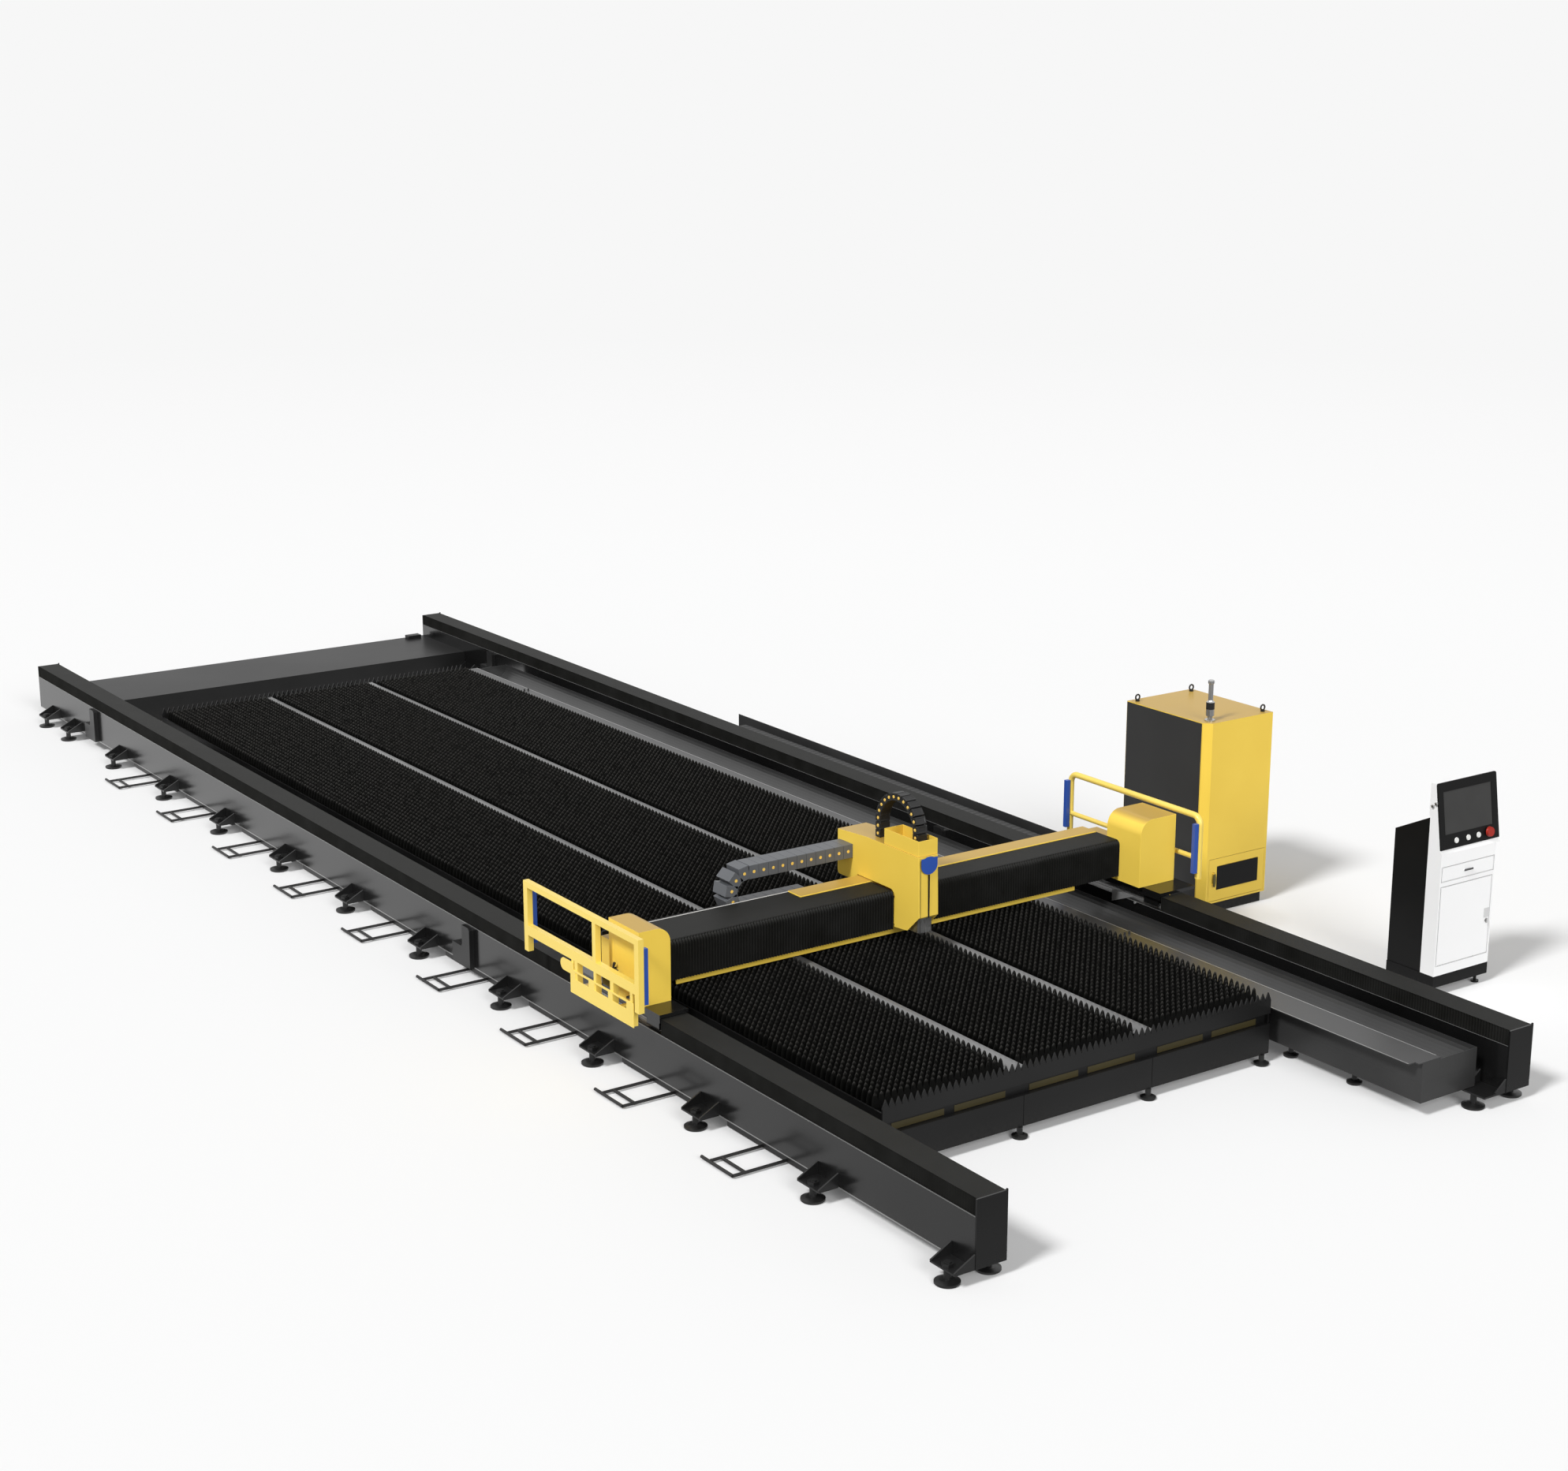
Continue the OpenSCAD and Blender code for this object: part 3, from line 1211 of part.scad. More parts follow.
// Places on the leaning face, with X to the right, Y up the face and Z into it
module on_face() {
    translate([0, face_y, face_z]) rotate([90 - lean, 0, 0]) mirror([0, 0, 1]) children();
}
bezel_t = 12;
bezel_r = 18;
stem_d = 22;
face_buttons = [[166, 55, stem_d], [296, 55, stem_d], [409, 55, stem_d], [523, 61, stem_d + 8]];
window = [56, 110, head_plate_w - 64, face_l - 71];
module screen_bezel() {
    color(near_black) placed() translate([console_x, 0, 0]) on_face() translate([0, 0, -bezel_t]) difference() {
        linear_extrude(bezel_t) difference() {
            union() {
                translate([bezel_r, 0]) square([head_plate_w - 2 * bezel_r, face_l]);
                square([head_plate_w, face_l - bezel_r]);
                for (x = [bezel_r, head_plate_w - bezel_r]) translate([x, face_l - bezel_r]) circle(r = bezel_r);
            }
            translate([window[0], window[1]]) square([window[2] - window[0], window[3] - window[1]]);
        }
        for (b = face_buttons) translate([b[0], b[1], -1]) cylinder(d = b[2], h = bezel_t + 2);
    }
}
module screen() {
    color([0.36, 0.36, 0.36]) placed() translate([console_x, 0, 0]) on_face() translate([window[0], window[1], -8])
        cube([window[2] - window[0], window[3] - window[1], 8]);
}

// Keyboard drawer with a tray behind its front, and a small pull
tray_depth = 300;
module keyboard_drawer() {
    color(white) placed() translate([console_x + drawer_x, console_y, drawer_z]) {
        cube([drawer_w, 18, drawer_h]);
        difference() {
            block([6, 18, fit - door_gap], [drawer_w - 6, tray_depth, 66]);
            block([9, 21, 3], [drawer_w - 9, tray_depth - 3, 67]);
        }
        block([236, -14, 46], [326, -6, 58]);
        for (x = [236, 314]) block([x, -6, 46], [x + 12, 0, 58]);
    }
}

// Door of the console, hinged at its left edge, with a bore for its lock
lock_x = 521;
lock_z = 262;
lock_d = 26;
module console_door() {
    color(white) placed() translate([console_x + door_x, console_y, door_z]) difference() {
        cube([door_w, door_t, door_h]);
        translate([lock_x, -1, lock_z]) rotate([-90, 0, 0]) cylinder(d = lock_d + 2 * fit, h = door_t + 2);
    }
    color(white) placed() for (s = [0, 1]) translate([console_x + door_x + pivot, console_y + pivot, door_z + s * door_h])
        mirror([0, 0, 1 - s]) cylinder(d = pin_d, h = pin_l);
}
module console_lock() {
    color(bright_steel) placed() translate([console_x + door_x + lock_x, console_y, door_z + lock_z]) {
        translate([0, -6, 0]) rotate([-90, 0, 0]) cylinder(d = lock_d, h = door_t + 12);
        block([-4, -16, -18], [4, -6, 18]);
        block([-9, door_t + 6, -42], [9, door_t + 12, 9]);
    }
}

// Push buttons and the stop button on the leaning face
module face_button(i, head_d, head_h, proud) {
    b = face_buttons[i];
    translate([console_x, 0, 0]) on_face() translate([b[0], b[1], 0]) {
        translate([0, 0, -bezel_t - proud - head_h]) cylinder(d1 = head_d * 0.9, d2 = head_d, h = head_h);
        translate([0, 0, -bezel_t - proud]) cylinder(d = b[2] - 2 * fit, h = bezel_t + proud + 10);
    }
}
module console_button_1() {
    color(white) placed() face_button(0, button_d, 6, 4);
}
module console_button_2() {
    color(white) placed() face_button(1, button_d, 6, 4);
}
module console_button_3() {
    color(white) placed() face_button(2, button_d, 6, 4);
}
module console_estop() {
    color(red) placed() face_button(3, stop_d, 20, 10);
}

rail_beams();
rail_end_plates();
rail_guides();
front_rail_bellows();
rear_rail_bellows();
foot_brackets();
levelling_feet();
bed_walls();
slats_left();
slats_middle();
slats_right();
tooth_plates();
divider_strips();
rear_cover();
suction_duct();
chain_trough();
y_drag_chain();
cabinet_shell();
cabinet_plinth();
signal_mast();
console_base();
console_column();
console_housing();
screen_bezel();
screen();
slag_drawer(0);  // slag_drawer_1
slag_drawer(1);  // slag_drawer_2
slag_drawer(2);  // slag_drawer_3
slag_drawer(3);  // slag_drawer_4
slag_drawer(4);  // slag_drawer_5
slag_drawer(5);  // slag_drawer_6
slag_drawer(6);  // slag_drawer_7
slag_drawer(7);  // slag_drawer_8
slag_drawer(8);  // slag_drawer_9
cabinet_door();
cabinet_estop();
cabinet_button_1();
cabinet_button_2();
keyboard_drawer();
console_door();
console_lock();
console_button_1();
console_button_2();
console_button_3();
console_estop();
gantry_beam();
saddles();
left_housing();
right_motor_cover();
guards();
light_curtains();
beam_bellows();
x_drag_chain();
chain_tray();
x_guides();
carriage_body();
z_box();
z_drag_chain();
z_slide();
cutting_head();
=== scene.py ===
import math

import bpy
from mathutils import Matrix, Vector


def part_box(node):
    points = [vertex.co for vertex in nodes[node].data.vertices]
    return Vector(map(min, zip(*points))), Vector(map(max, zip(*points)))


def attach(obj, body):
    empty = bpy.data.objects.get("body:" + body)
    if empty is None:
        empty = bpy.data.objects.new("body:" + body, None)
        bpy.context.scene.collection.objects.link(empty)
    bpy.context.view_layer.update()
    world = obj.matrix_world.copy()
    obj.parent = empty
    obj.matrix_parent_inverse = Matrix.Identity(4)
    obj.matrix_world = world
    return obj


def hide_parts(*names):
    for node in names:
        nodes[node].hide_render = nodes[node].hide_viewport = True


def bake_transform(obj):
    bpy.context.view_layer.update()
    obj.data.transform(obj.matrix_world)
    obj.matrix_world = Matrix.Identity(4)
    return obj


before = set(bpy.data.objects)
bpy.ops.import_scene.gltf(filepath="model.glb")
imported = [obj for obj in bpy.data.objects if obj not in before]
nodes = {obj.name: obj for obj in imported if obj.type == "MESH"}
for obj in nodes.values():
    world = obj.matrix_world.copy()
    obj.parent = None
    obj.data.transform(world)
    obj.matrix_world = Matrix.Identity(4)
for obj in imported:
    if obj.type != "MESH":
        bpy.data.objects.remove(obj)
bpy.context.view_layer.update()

# The view: the photographer stood in front of the machine's left rail, well above head height,
# and looked along the bed towards the cabinet.
bpy.ops.object.camera_add(location=(-11.4111, -18.2182, 6.7797),
                          rotation=(math.radians(75.0968), 0, math.radians(-34.6198)))
camera = bpy.context.object
camera.data.sensor_fit = "HORIZONTAL"
camera.data.sensor_width = 36
camera.data.lens = 58.335
camera.data.clip_end = 300
bpy.context.scene.camera = camera
bpy.context.scene.view_settings.view_transform = "Standard"


# Side rails: box beams welded from plate, painted in a dark satin grey, with plates on their ends.
# The paint lies a little uneven over the long plates, and dust has dulled it near the floor.
class Wire:
    """A value on its way through the nodes. Sums and products written with it add Math nodes."""

    def __init__(self, owner, socket):
        self.owner = owner
        self.socket = socket

    def joined(self, operation, first, second):
        return self.owner.node("ShaderNodeMath", {"operation": operation}, {0: first, 1: second})

    def __add__(self, other):
        return self.joined("ADD", self, other)

    def __sub__(self, other):
        return self.joined("SUBTRACT", self, other)

    def __rsub__(self, other):
        return self.joined("SUBTRACT", other, self)

    def __mul__(self, other):
        return self.joined("MULTIPLY", self, other)

    __radd__ = __add__
    __rmul__ = __mul__


class Wiring:
    """The nodes of one material or of the world. node() adds any node, and feed() fills a socket."""

    def __init__(self, tree):
        self.tree = tree

    def node(self, kind, settings=None, sockets=None, output=0):
        made = self.tree.nodes.new(kind)
        for name, value in (settings or {}).items():
            if name == "stops":
                ramp = made.color_ramp
                for stop, (at, colour) in enumerate(value):
                    if stop >= len(ramp.elements):
                        ramp.elements.new(at)
                    ramp.elements[stop].position = at
                    ramp.elements[stop].color = (*colour, 1)
            else:
                setattr(made, name, value)
        for name, value in (sockets or {}).items():
            self.feed(made.inputs[name], value)
        return Wire(self, made.outputs[output])

    def feed(self, socket, value):
        if isinstance(value, Wire):
            self.tree.links.new(value.socket, socket)
        elif isinstance(value, tuple) and socket.type == "RGBA":
            socket.default_value = (*value, 1)
        else:
            socket.default_value = value

    def ray(self, kind):
        return self.node("ShaderNodeLightPath", output="Is " + kind + " Ray")

    def ramp(self, value, stops):
        return self.node("ShaderNodeValToRGB", {"stops": stops}, {"Fac": value}, "Color")

    def band(self, value, low, high):
        return self.node("ShaderNodeMapRange", {"clamp": True},
                         {"Value": value, "From Min": low, "From Max": high})

    def mix(self, share, first, second):
        return self.node("ShaderNodeMix", {"data_type": "RGBA"}, {0: share, 6: first, 7: second}, 2)

    def split(self, vector, axis):
        return self.node("ShaderNodeSeparateXYZ", {}, {"Vector": vector}, axis)


class Finish(Wiring):
    """One material, with the few patterns that the paints and the metals share."""

    def __init__(self, name, metallic=0.0, specular=0.5, coat=0.0, coat_roughness=0.1):
        self.material = bpy.data.materials.new(name)
        self.material.use_nodes = True
        super().__init__(self.material.node_tree)
        self.shader = self.tree.nodes["Principled BSDF"]
        self.shader.inputs["Metallic"].default_value = metallic
        self.shader.inputs["Specular IOR Level"].default_value = specular
        self.shader.inputs["Coat Weight"].default_value = coat
        self.shader.inputs["Coat Roughness"].default_value = coat_roughness
        self.place = self.node("ShaderNodeTexCoord", output="Object")

    def noise(self, scale, detail=3, stretch=(1, 1, 1)):
        spread = self.node("ShaderNodeMapping", {"vector_type": "POINT"},
                           {"Vector": self.place, "Scale": stretch})
        return self.node("ShaderNodeTexNoise", {}, {"Vector": spread, "Scale": scale, "Detail": detail},
                         "Fac")

    def height(self):
        return self.split(self.place, "Z")

    def upward(self):
        return self.split(self.node("ShaderNodeNewGeometry", output="Normal"), "Z")

    def bump(self, height, strength, distance):
        return self.node("ShaderNodeBump", {}, {"Height": height, "Strength": strength, "Distance": distance},
                         "Normal")

    def coat_on(self, base, roughness, normal=None):
        self.feed(self.shader.inputs["Base Color"], base)
        self.feed(self.shader.inputs["Roughness"], roughness)
        if normal:
            self.feed(self.shader.inputs["Normal"], normal)
        return self.material


def grey(value):
    return (value, value, value)


def painted(name, deep, plain, dust_and_top_shade, roughness, coat=0.0, dust_to=0.25, specular=0.5, top_shade=0.0):
    """Sprayed paint: a slow drift of tone, fine orange peel, and dust that gathers low down.
    Paint that faces upward is mixed towards the dust tone by the share given: painted shade on the tops."""
    f = Finish(name, specular=specular, coat=coat, coat_roughness=0.25)
    drift = f.noise(0.9, 4)
    speck = f.noise(38, 2)
    tone = f.mix(f.band(drift, 0.32, 0.68), deep, plain)
    if top_shade:
        # Upward faces are darkened towards the dust tone: painted shade on the tops.
        tone = f.mix(f.band(f.upward() + drift * 0.1, 0.75, 1.0) * top_shade, tone, dust_and_top_shade)
    dust = f.band(f.height() + drift * 0.12, dust_to, 0.02) * f.band(speck, 0.35, 0.7) * 0.55
    peel = f.noise(220, 1)
    return f.coat_on(f.mix(dust, tone, dust_and_top_shade), roughness + drift * 0.14 + dust * 0.25,
                     f.bump(peel, 0.12, 0.0006))


def steel(name, metallic, scale, stretch, deep, plain, roughness, streak):
    """Bare steel with fine lines, which run along the axis that the pattern is stretched on."""
    f = Finish(name, metallic=metallic)
    lines = f.noise(scale, 3, stretch)
    return f.coat_on(f.mix(lines, deep, plain), roughness + lines * streak)


def wear(node, material):
    """Gives a carried-over solid its finish."""
    mesh = nodes[node].data
    mesh.materials.clear()
    mesh.materials.append(material)


dark_paint = painted("dark_rail_paint", grey(0.004), grey(0.008), (0.030, 0.029, 0.027), 0.12, specular=0.8)
wear("rail_beams", dark_paint)
wear("rail_end_plates", painted("dark_end_paint", grey(0.003), grey(0.006), (0.022, 0.021, 0.020), 0.18,
                                specular=0.38))

guide_steel = steel("ground_guide_steel", 0.9, 90, (1, 0.02, 1), grey(0.50), (0.68, 0.68, 0.67), 0.22, 0.15)
for name in ("rail_guides", "x_guides"):
    wear(name, guide_steel)


# Rail covers: black coated cloth folded into narrow pleats.
# Each cover is a pleated skirt on both sides of the rail, under a smooth top band.
def clear_selection():
    if bpy.context.object and bpy.context.object.mode != "OBJECT":
        bpy.ops.object.mode_set(mode="OBJECT")
    bpy.ops.object.select_all(action="DESELECT")


def take(piece):
    """Leaves this piece as the only one that is selected."""
    clear_selection()
    piece.select_set(True)
    bpy.context.view_layer.objects.active = piece


def choose(piece, kind, test):
    """Leaves the piece in edit mode with the vertices or faces selected whose place passes the test."""
    bpy.ops.object.mode_set(mode="OBJECT")
    mesh = piece.data
    for group in (mesh.vertices, mesh.edges, mesh.polygons):
        group.foreach_set("select", [False] * len(group))
    if kind == "VERT":
        mesh.vertices.foreach_set("select", [bool(test(v.co)) for v in mesh.vertices])
    else:
        mesh.polygons.foreach_set("select", [bool(test(p.normal)) for p in mesh.polygons])
    bpy.context.tool_settings.mesh_select_mode = (kind == "VERT", False, kind == "FACE")
    bpy.ops.object.mode_set(mode="EDIT")


def apply_place(piece):
    take(piece)
    bpy.ops.object.transform_apply(location=True, rotation=True, scale=True)


def modified(piece, kind, **settings):
    """Adds a modifier with these settings and applies it."""
    take(piece)
    modifier = piece.modifiers.new(kind.lower(), kind)
    for name, value in settings.items():
        setattr(modifier, name, value)
    bpy.ops.object.modifier_apply(modifier=modifier.name)
    return piece


def joined(pieces):
    clear_selection()
    for piece in pieces:
        piece.select_set(True)
    bpy.context.view_layer.objects.active = pieces[0]
    bpy.ops.object.join()
    return pieces[0]


def outward(piece):
    """Merges the doubles and turns every face outwards."""
    take(piece)
    bpy.ops.object.mode_set(mode="EDIT")
    bpy.ops.mesh.select_all(action="SELECT")
    bpy.ops.mesh.remove_doubles(threshold=0.00001)
    bpy.ops.mesh.normals_make_consistent(inside=False)
    bpy.ops.object.mode_set(mode="OBJECT")
    return piece


def settled(piece, name, material, body=None):
    """Names the finished piece, gives it its finish and lets it ride on its body."""
    apply_place(piece)
    piece.name = piece.data.name = name
    piece.data.materials.clear()
    piece.data.materials.append(material)
    if body:
        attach(piece, body)
    return piece


def rounded(piece, width):
    """Breaks the sharp edges of a turned piece."""
    return modified(piece, "BEVEL", width=width, segments=2, limit_method="ANGLE")


def block(low, high, bevel=0.0):
    """A plate or bar between two corners, its edges broken by a small round."""
    clear_selection()
    low, high = Vector(low), Vector(high)
    bpy.ops.mesh.primitive_cube_add(size=1, location=(low + high) / 2)
    piece = bpy.context.object
    piece.scale = high - low
    apply_place(piece)
    if bevel:
        modified(piece, "BEVEL", width=bevel, segments=2, limit_method="NONE")
    return piece


pleat = 0.024
pleat_depth = 0.013
cloth_t = 0.0015
crease_out = 2.97
band_inset = 0.001
band_lap = 0.0002
band_t = 0.0012


def rail_cover(x1, x2, y1, y2, z1, z2):
    """One length of cover: a sheet folded over the rail, its side walls pleated."""
    folds = 2 * round((y2 - y1) / pleat)
    middle = (x1 + x2) / 2
    half = (x2 - x1) / 2
    clear_selection()
    bpy.ops.mesh.primitive_grid_add(x_subdivisions=3, y_subdivisions=folds, size=1,
                                    location=(middle, (y1 + y2) / 2, z2))
    piece = bpy.context.object
    piece.scale = (x2 - x1, y2 - y1, 1)
    apply_place(piece)
    choose(piece, "VERT", lambda p: abs(p.x - middle) < half * 0.5)
    bpy.ops.transform.resize(value=(crease_out, 1, 1), center_override=(middle, 0, 0))
    choose(piece, "VERT", lambda p: abs(p.x - middle) > half * 0.995)
    bpy.ops.transform.translate(value=(0, 0, z1 - z2))
    step = (y2 - y1) / folds
    choose(piece, "VERT", lambda p: round((p.y - y1) / step) % 2 == 1)
    bpy.ops.transform.resize(value=(1 - pleat_depth / half, 1, 1), center_override=(middle, 0, 0))
    modified(piece, "SOLIDIFY", thickness=cloth_t, offset=-1)
    band = block((x1 + band_inset, y1, z2 - band_lap), (x2 - band_inset, y2, z2 + band_t))
    return [piece, band]


def cloth(name, deep, plain, roughness):
    """Coated cloth: a fine weave under a dull film, greyer where it has rubbed."""
    f = Finish(name, specular=0.13)
    weave = f.node("ShaderNodeTexWave", {"wave_type": "BANDS", "bands_direction": "DIAGONAL"},
                   {"Vector": f.place, "Scale": 420.0, "Distortion": 0.5}, "Fac")
    rubbed = f.noise(5, 4)
    return f.coat_on(f.mix(f.band(rubbed, 0.3, 0.75), deep, plain), roughness + rubbed * 0.15,
                     f.bump(weave, 0.15, 0.0004))


cover_cloth = cloth("coated_cover_cloth", (0.006, 0.006, 0.005), (0.013, 0.013, 0.012), 0.5)
rail_low, rail_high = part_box("rail_beams")
rail_width = 0.230
cover_inset = 0.010
front_low, front_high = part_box("front_rail_bellows")
rear_low, rear_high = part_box("rear_rail_bellows")
for name, node, low, high, ends in (
        ("front_rail_covers", "front_rail_bellows", front_low, front_high, ("bed_and_rails", "gantry")),
        ("rear_rail_covers", "rear_rail_bellows", rear_low, rear_high, ("gantry", "bed_and_rails"))):
    parts = []
    for x in (rail_low.x, rail_high.x - rail_width):
        parts += rail_cover(x + cover_inset, x + rail_width - cover_inset, low.y, high.y, low.z,
                            high.z - cloth_t)
    covers = settled(joined(parts), name, cover_cloth)
    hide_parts(node)
    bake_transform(covers)


# Rail edges: the covers stand a little inside the rails, and the bare steel that is left along the
# top edges catches the light. Along the lower edges, strips of bright steel are a painted reflection of
# the floor.
bright_edge = steel("bright_edge_steel", 0.7, 30, (1, 0.1, 1), grey(0.30), (0.50, 0.50, 0.49), 0.24, 0.2)
edge_w = 0.0065
edge_h = 0.002
edge_proud = 0.0008
low_edge_h = 0.007
low_edge_proud = 0.0005
edges = []
for x in (rail_low.x, rail_high.x - rail_width):
    for side in (x, x + rail_width - edge_w):
        edges.append(block((side, rail_low.y, rail_high.z - edge_h),
                           (side + edge_w, rail_high.y, rail_high.z + edge_proud)))
        # The lower strip is a painted reflection of the floor in the rail's bottom edge.
        edges.append(block((side - edge_proud, rail_low.y, rail_low.z - low_edge_proud),
                           (side + edge_w + edge_proud, rail_high.y, rail_low.z + low_edge_h)))
settled(joined(edges), "rail_edges", bright_edge, "bed_and_rails")


# Feet: cut brackets with gussets, round levelling feet and their studs, and the hooked clamps that
# join the lengths of rail. All are painted black.
foot_paint = painted("black_foot_paint", grey(0.004), grey(0.009), (0.040, 0.038, 0.035), 0.30, dust_to=0.10)
for name in ("foot_brackets", "levelling_feet"):
    wear(name, foot_paint)


# Bed: a frame of welded plates that stands between the rails, with a low cover behind it and two
# sloped strips of grey sheet along it. The frame's paint is dull, and the cover's is a little paler.
bed_paint = painted("bed_plate_paint", grey(0.007), grey(0.014), (0.040, 0.037, 0.033), 0.32, specular=0.16)
wear("rear_cover", bed_paint)
wear("bed_walls", painted("bed_wall_paint", grey(0.003), grey(0.007), (0.024, 0.022, 0.020), 0.30,
                          specular=0.36))

strip_paint = painted("strip_grey_paint", grey(0.13), grey(0.21), (0.07, 0.065, 0.06), 0.35, dust_to=0.47)
wear("divider_strips", strip_paint)

# Slats: thin toothed strips of burnt steel, which stand on edge about 55 mm apart in three columns.
# One strip is cut from sheet, the gaps between its teeth pulled down, and then repeated along the bed.
slat_gap = 0.055
tooth_pitch = 0.051
slat_sheet = 0.003
tooth_depth = 0.060
shoulder = 0.013
strip_side = 0.039
glint_heights = (0.503, 0.527)

f = Finish("burnt_slat_steel", metallic=0.2, specular=0.22)
burn = f.noise(14, 4)
glint_scatter = f.noise(45, 1)
# Scattered spots near the tooth tips are lightened: painted glints.
tip_glint = f.band(f.height(), *glint_heights) * f.band(glint_scatter, 0.30, 0.52)
burnt = f.mix(burn, grey(0.002), (0.006, 0.006, 0.005))
slat_steel = f.coat_on(f.mix(tip_glint, burnt, (0.060, 0.058, 0.054)), 0.36 + burn * 0.25, f.bump(burn, 0.3, 0.001))

for name in ("slats_left", "slats_middle", "slats_right"):
    low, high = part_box(name)
    left = low.x + (0.0 if name == "slats_left" else strip_side)
    right = high.x - (0.0 if name == "slats_right" else strip_side)
    middle = (low.z + high.z) / 2
    teeth = round((right - left) / tooth_pitch)
    rows = round((high.y - low.y) / slat_gap)
    clear_selection()
    bpy.ops.mesh.primitive_grid_add(x_subdivisions=4 * teeth, y_subdivisions=1, size=1,
                                    location=((left + right) / 2, low.y, middle),
                                    rotation=(math.pi / 2, 0, 0))
    slats = bpy.context.object
    slats.scale = (right - left, high.z - low.z, 1)
    apply_place(slats)
    quarter = (right - left) / teeth / 4
    for place, drop in ((0, tooth_depth), (1, shoulder), (3, shoulder)):
        choose(slats, "VERT", lambda p: p.z > middle and round((p.x - left) / quarter) % 4 == place)
        bpy.ops.transform.translate(value=(0, 0, -drop))
    modified(slats, "SOLIDIFY", thickness=slat_sheet, offset=-1)
    modified(slats, "ARRAY", count=rows, use_relative_offset=False, use_constant_offset=True,
             constant_offset_displace=(0, (high.y - low.y - slat_sheet) / (rows - 1), 0))
    settled(slats, "toothed_" + name, slat_steel, "bed_and_rails")
    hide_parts(name)
wear("tooth_plates", painted("tooth_plate_paint", grey(0.005), grey(0.010), (0.02, 0.019, 0.017), 0.34,
                             specular=0.36))

# Recess panels: short strips of sheet in an olive primer, two to each column of slats. They close
# the recess below the front tooth plate.
olive = painted("olive_primer", (0.030, 0.023, 0.004), (0.052, 0.040, 0.008), (0.03, 0.025, 0.01), 0.45)
wall_low, wall_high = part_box("bed_walls")
panel_gap = 0.10
panel_w = 0.42
panel_t = 0.003
panel_bevel = 0.001
trim_gap = 0.0002
column_step = (wall_high.x - wall_low.x) / 3
recess_z = (0.293, 0.338)
recess_back = wall_low.y + 0.042
panels = []
for k in range(3):
    for x in (wall_low.x + k * column_step + panel_gap,
              wall_low.x + (k + 1) * column_step - panel_gap - panel_w):
        panels.append(block((x, recess_back - panel_t, recess_z[0]),
                            (x + panel_w, recess_back - trim_gap, recess_z[1]), panel_bevel))
settled(joined(panels), "recess_panels", olive, "bed_and_rails")


# Suction duct, chain trough and slag drawers: folded grey sheet beside the bed, and steel pans below
# it. The gantry's saddles and the tray of its chain are painted as the rails are.
duct_sheet = painted("duct_grey_sheet", grey(0.020), grey(0.036), (0.04, 0.038, 0.036), 0.26)
wear("suction_duct", duct_sheet)
wear("chain_trough", duct_sheet)
pan_paint = painted("slag_pan_steel", grey(0.005), (0.011, 0.010, 0.010), (0.03, 0.028, 0.024), 0.40,
                    dust_to=0.06)
for k in range(1, 10):
    wear("slag_drawer_%d" % k, pan_paint)
wear("saddles", dark_paint)
wear("chain_tray", dark_paint)

# Duct edges: thin strips of bright steel run along the outer edge of the duct's lip and along the top
# edge of its gutter, over their whole length.
duct_low, duct_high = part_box("suction_duct")
lip_x = 0.8065
gutter_x = 1.0715
lip_z = 0.404
lip_w = 0.007
lip_deep = 0.002
lip_proud = 0.001
lip_start = 0.04
lips = []
for x in (lip_x, gutter_x):
    lips.append(block((x, duct_low.y + lip_start, lip_z - lip_deep),
                      (x + lip_w, duct_high.y, lip_z + lip_proud)))
settled(joined(lips), "duct_edges", bright_edge, "bed_and_rails")


# Rail plate: a pale three-cornered plate and a knob beside it, on the inner face of the right rail
# near the gantry. The plate's front end is drawn to a point.
def round_bar(radius, length, at, sides, along="Z"):
    """A round bar about a point, along one axis."""
    clear_selection()
    turn = {"X": (0, math.pi / 2, 0), "Y": (math.pi / 2, 0, 0), "Z": (0, 0, 0)}[along]
    bpy.ops.mesh.primitive_cylinder_add(vertices=sides, radius=radius, depth=length, rotation=turn,
                                        location=at)
    return bpy.context.object


rail_face = rail_high.x - rail_width
plate_x = (0.0065, 0.0005)
plate_y = (-4.270, -4.012)
plate_z = (0.361, 0.455)
point_z = 0.469
point_h = 0.002
knob_x = 0.0075
knob_y = -4.282
knob_z = 0.421
near = 0.001
plate = block((rail_face - plate_x[0], plate_y[0], plate_z[0]),
              (rail_face - plate_x[1], plate_y[1], plate_z[1]))
for edge, to in ((plate_z[0], point_z - point_h), (plate_z[1], point_z)):
    choose(plate, "VERT", lambda p: abs(p.y - plate_y[0]) < near and abs(p.z - edge) < near)
    bpy.ops.transform.translate(value=(0, 0, to - edge))
knob = rounded(round_bar(0.011, 0.014, (rail_face - knob_x, knob_y, knob_z), 24, "X"), 0.003)
apply_place(knob)
settled(joined([plate, knob]), "rail_plate", strip_paint, "bed_and_rails")


# Drag chains: moulded links that carry cables, each link a box with rounded corners, and a pad of
# another colour over every pin. The links follow a straight run, a half turn and a run back.
def plastic(name, deep, plain, roughness):
    """Moulded plastic: a fine grain, and a slow drift of tone."""
    f = Finish(name, specular=0.4)
    grain = f.noise(160, 2)
    drift = f.noise(3, 3)
    return f.coat_on(f.mix(drift, deep, plain), roughness + grain * 0.12, f.bump(grain, 0.2, 0.0004))


chain_grey = plastic("grey_chain_plastic", (0.085, 0.090, 0.098), (0.120, 0.126, 0.136), 0.36)
chain_black = plastic("black_chain_plastic", grey(0.006), grey(0.014), 0.40)
pad_yellow = plastic("yellow_pad_plastic", (0.80, 0.50, 0.08), (0.88, 0.60, 0.14), 0.35)
pad_white = plastic("pale_pad_plastic", (0.45, 0.45, 0.43), (0.60, 0.60, 0.58), 0.40)


def chain_place(s, a, r):
    """Place and heading, in radians, at length s along a run a, a half turn of radius r and a run back."""
    if s < a:
        return s, 0.0, 0.0
    if s < a + math.pi * r:
        t = (s - a) / r
        return a + r * math.sin(t), r - r * math.cos(t), t
    return a - (s - a - math.pi * r), 2 * r, math.pi


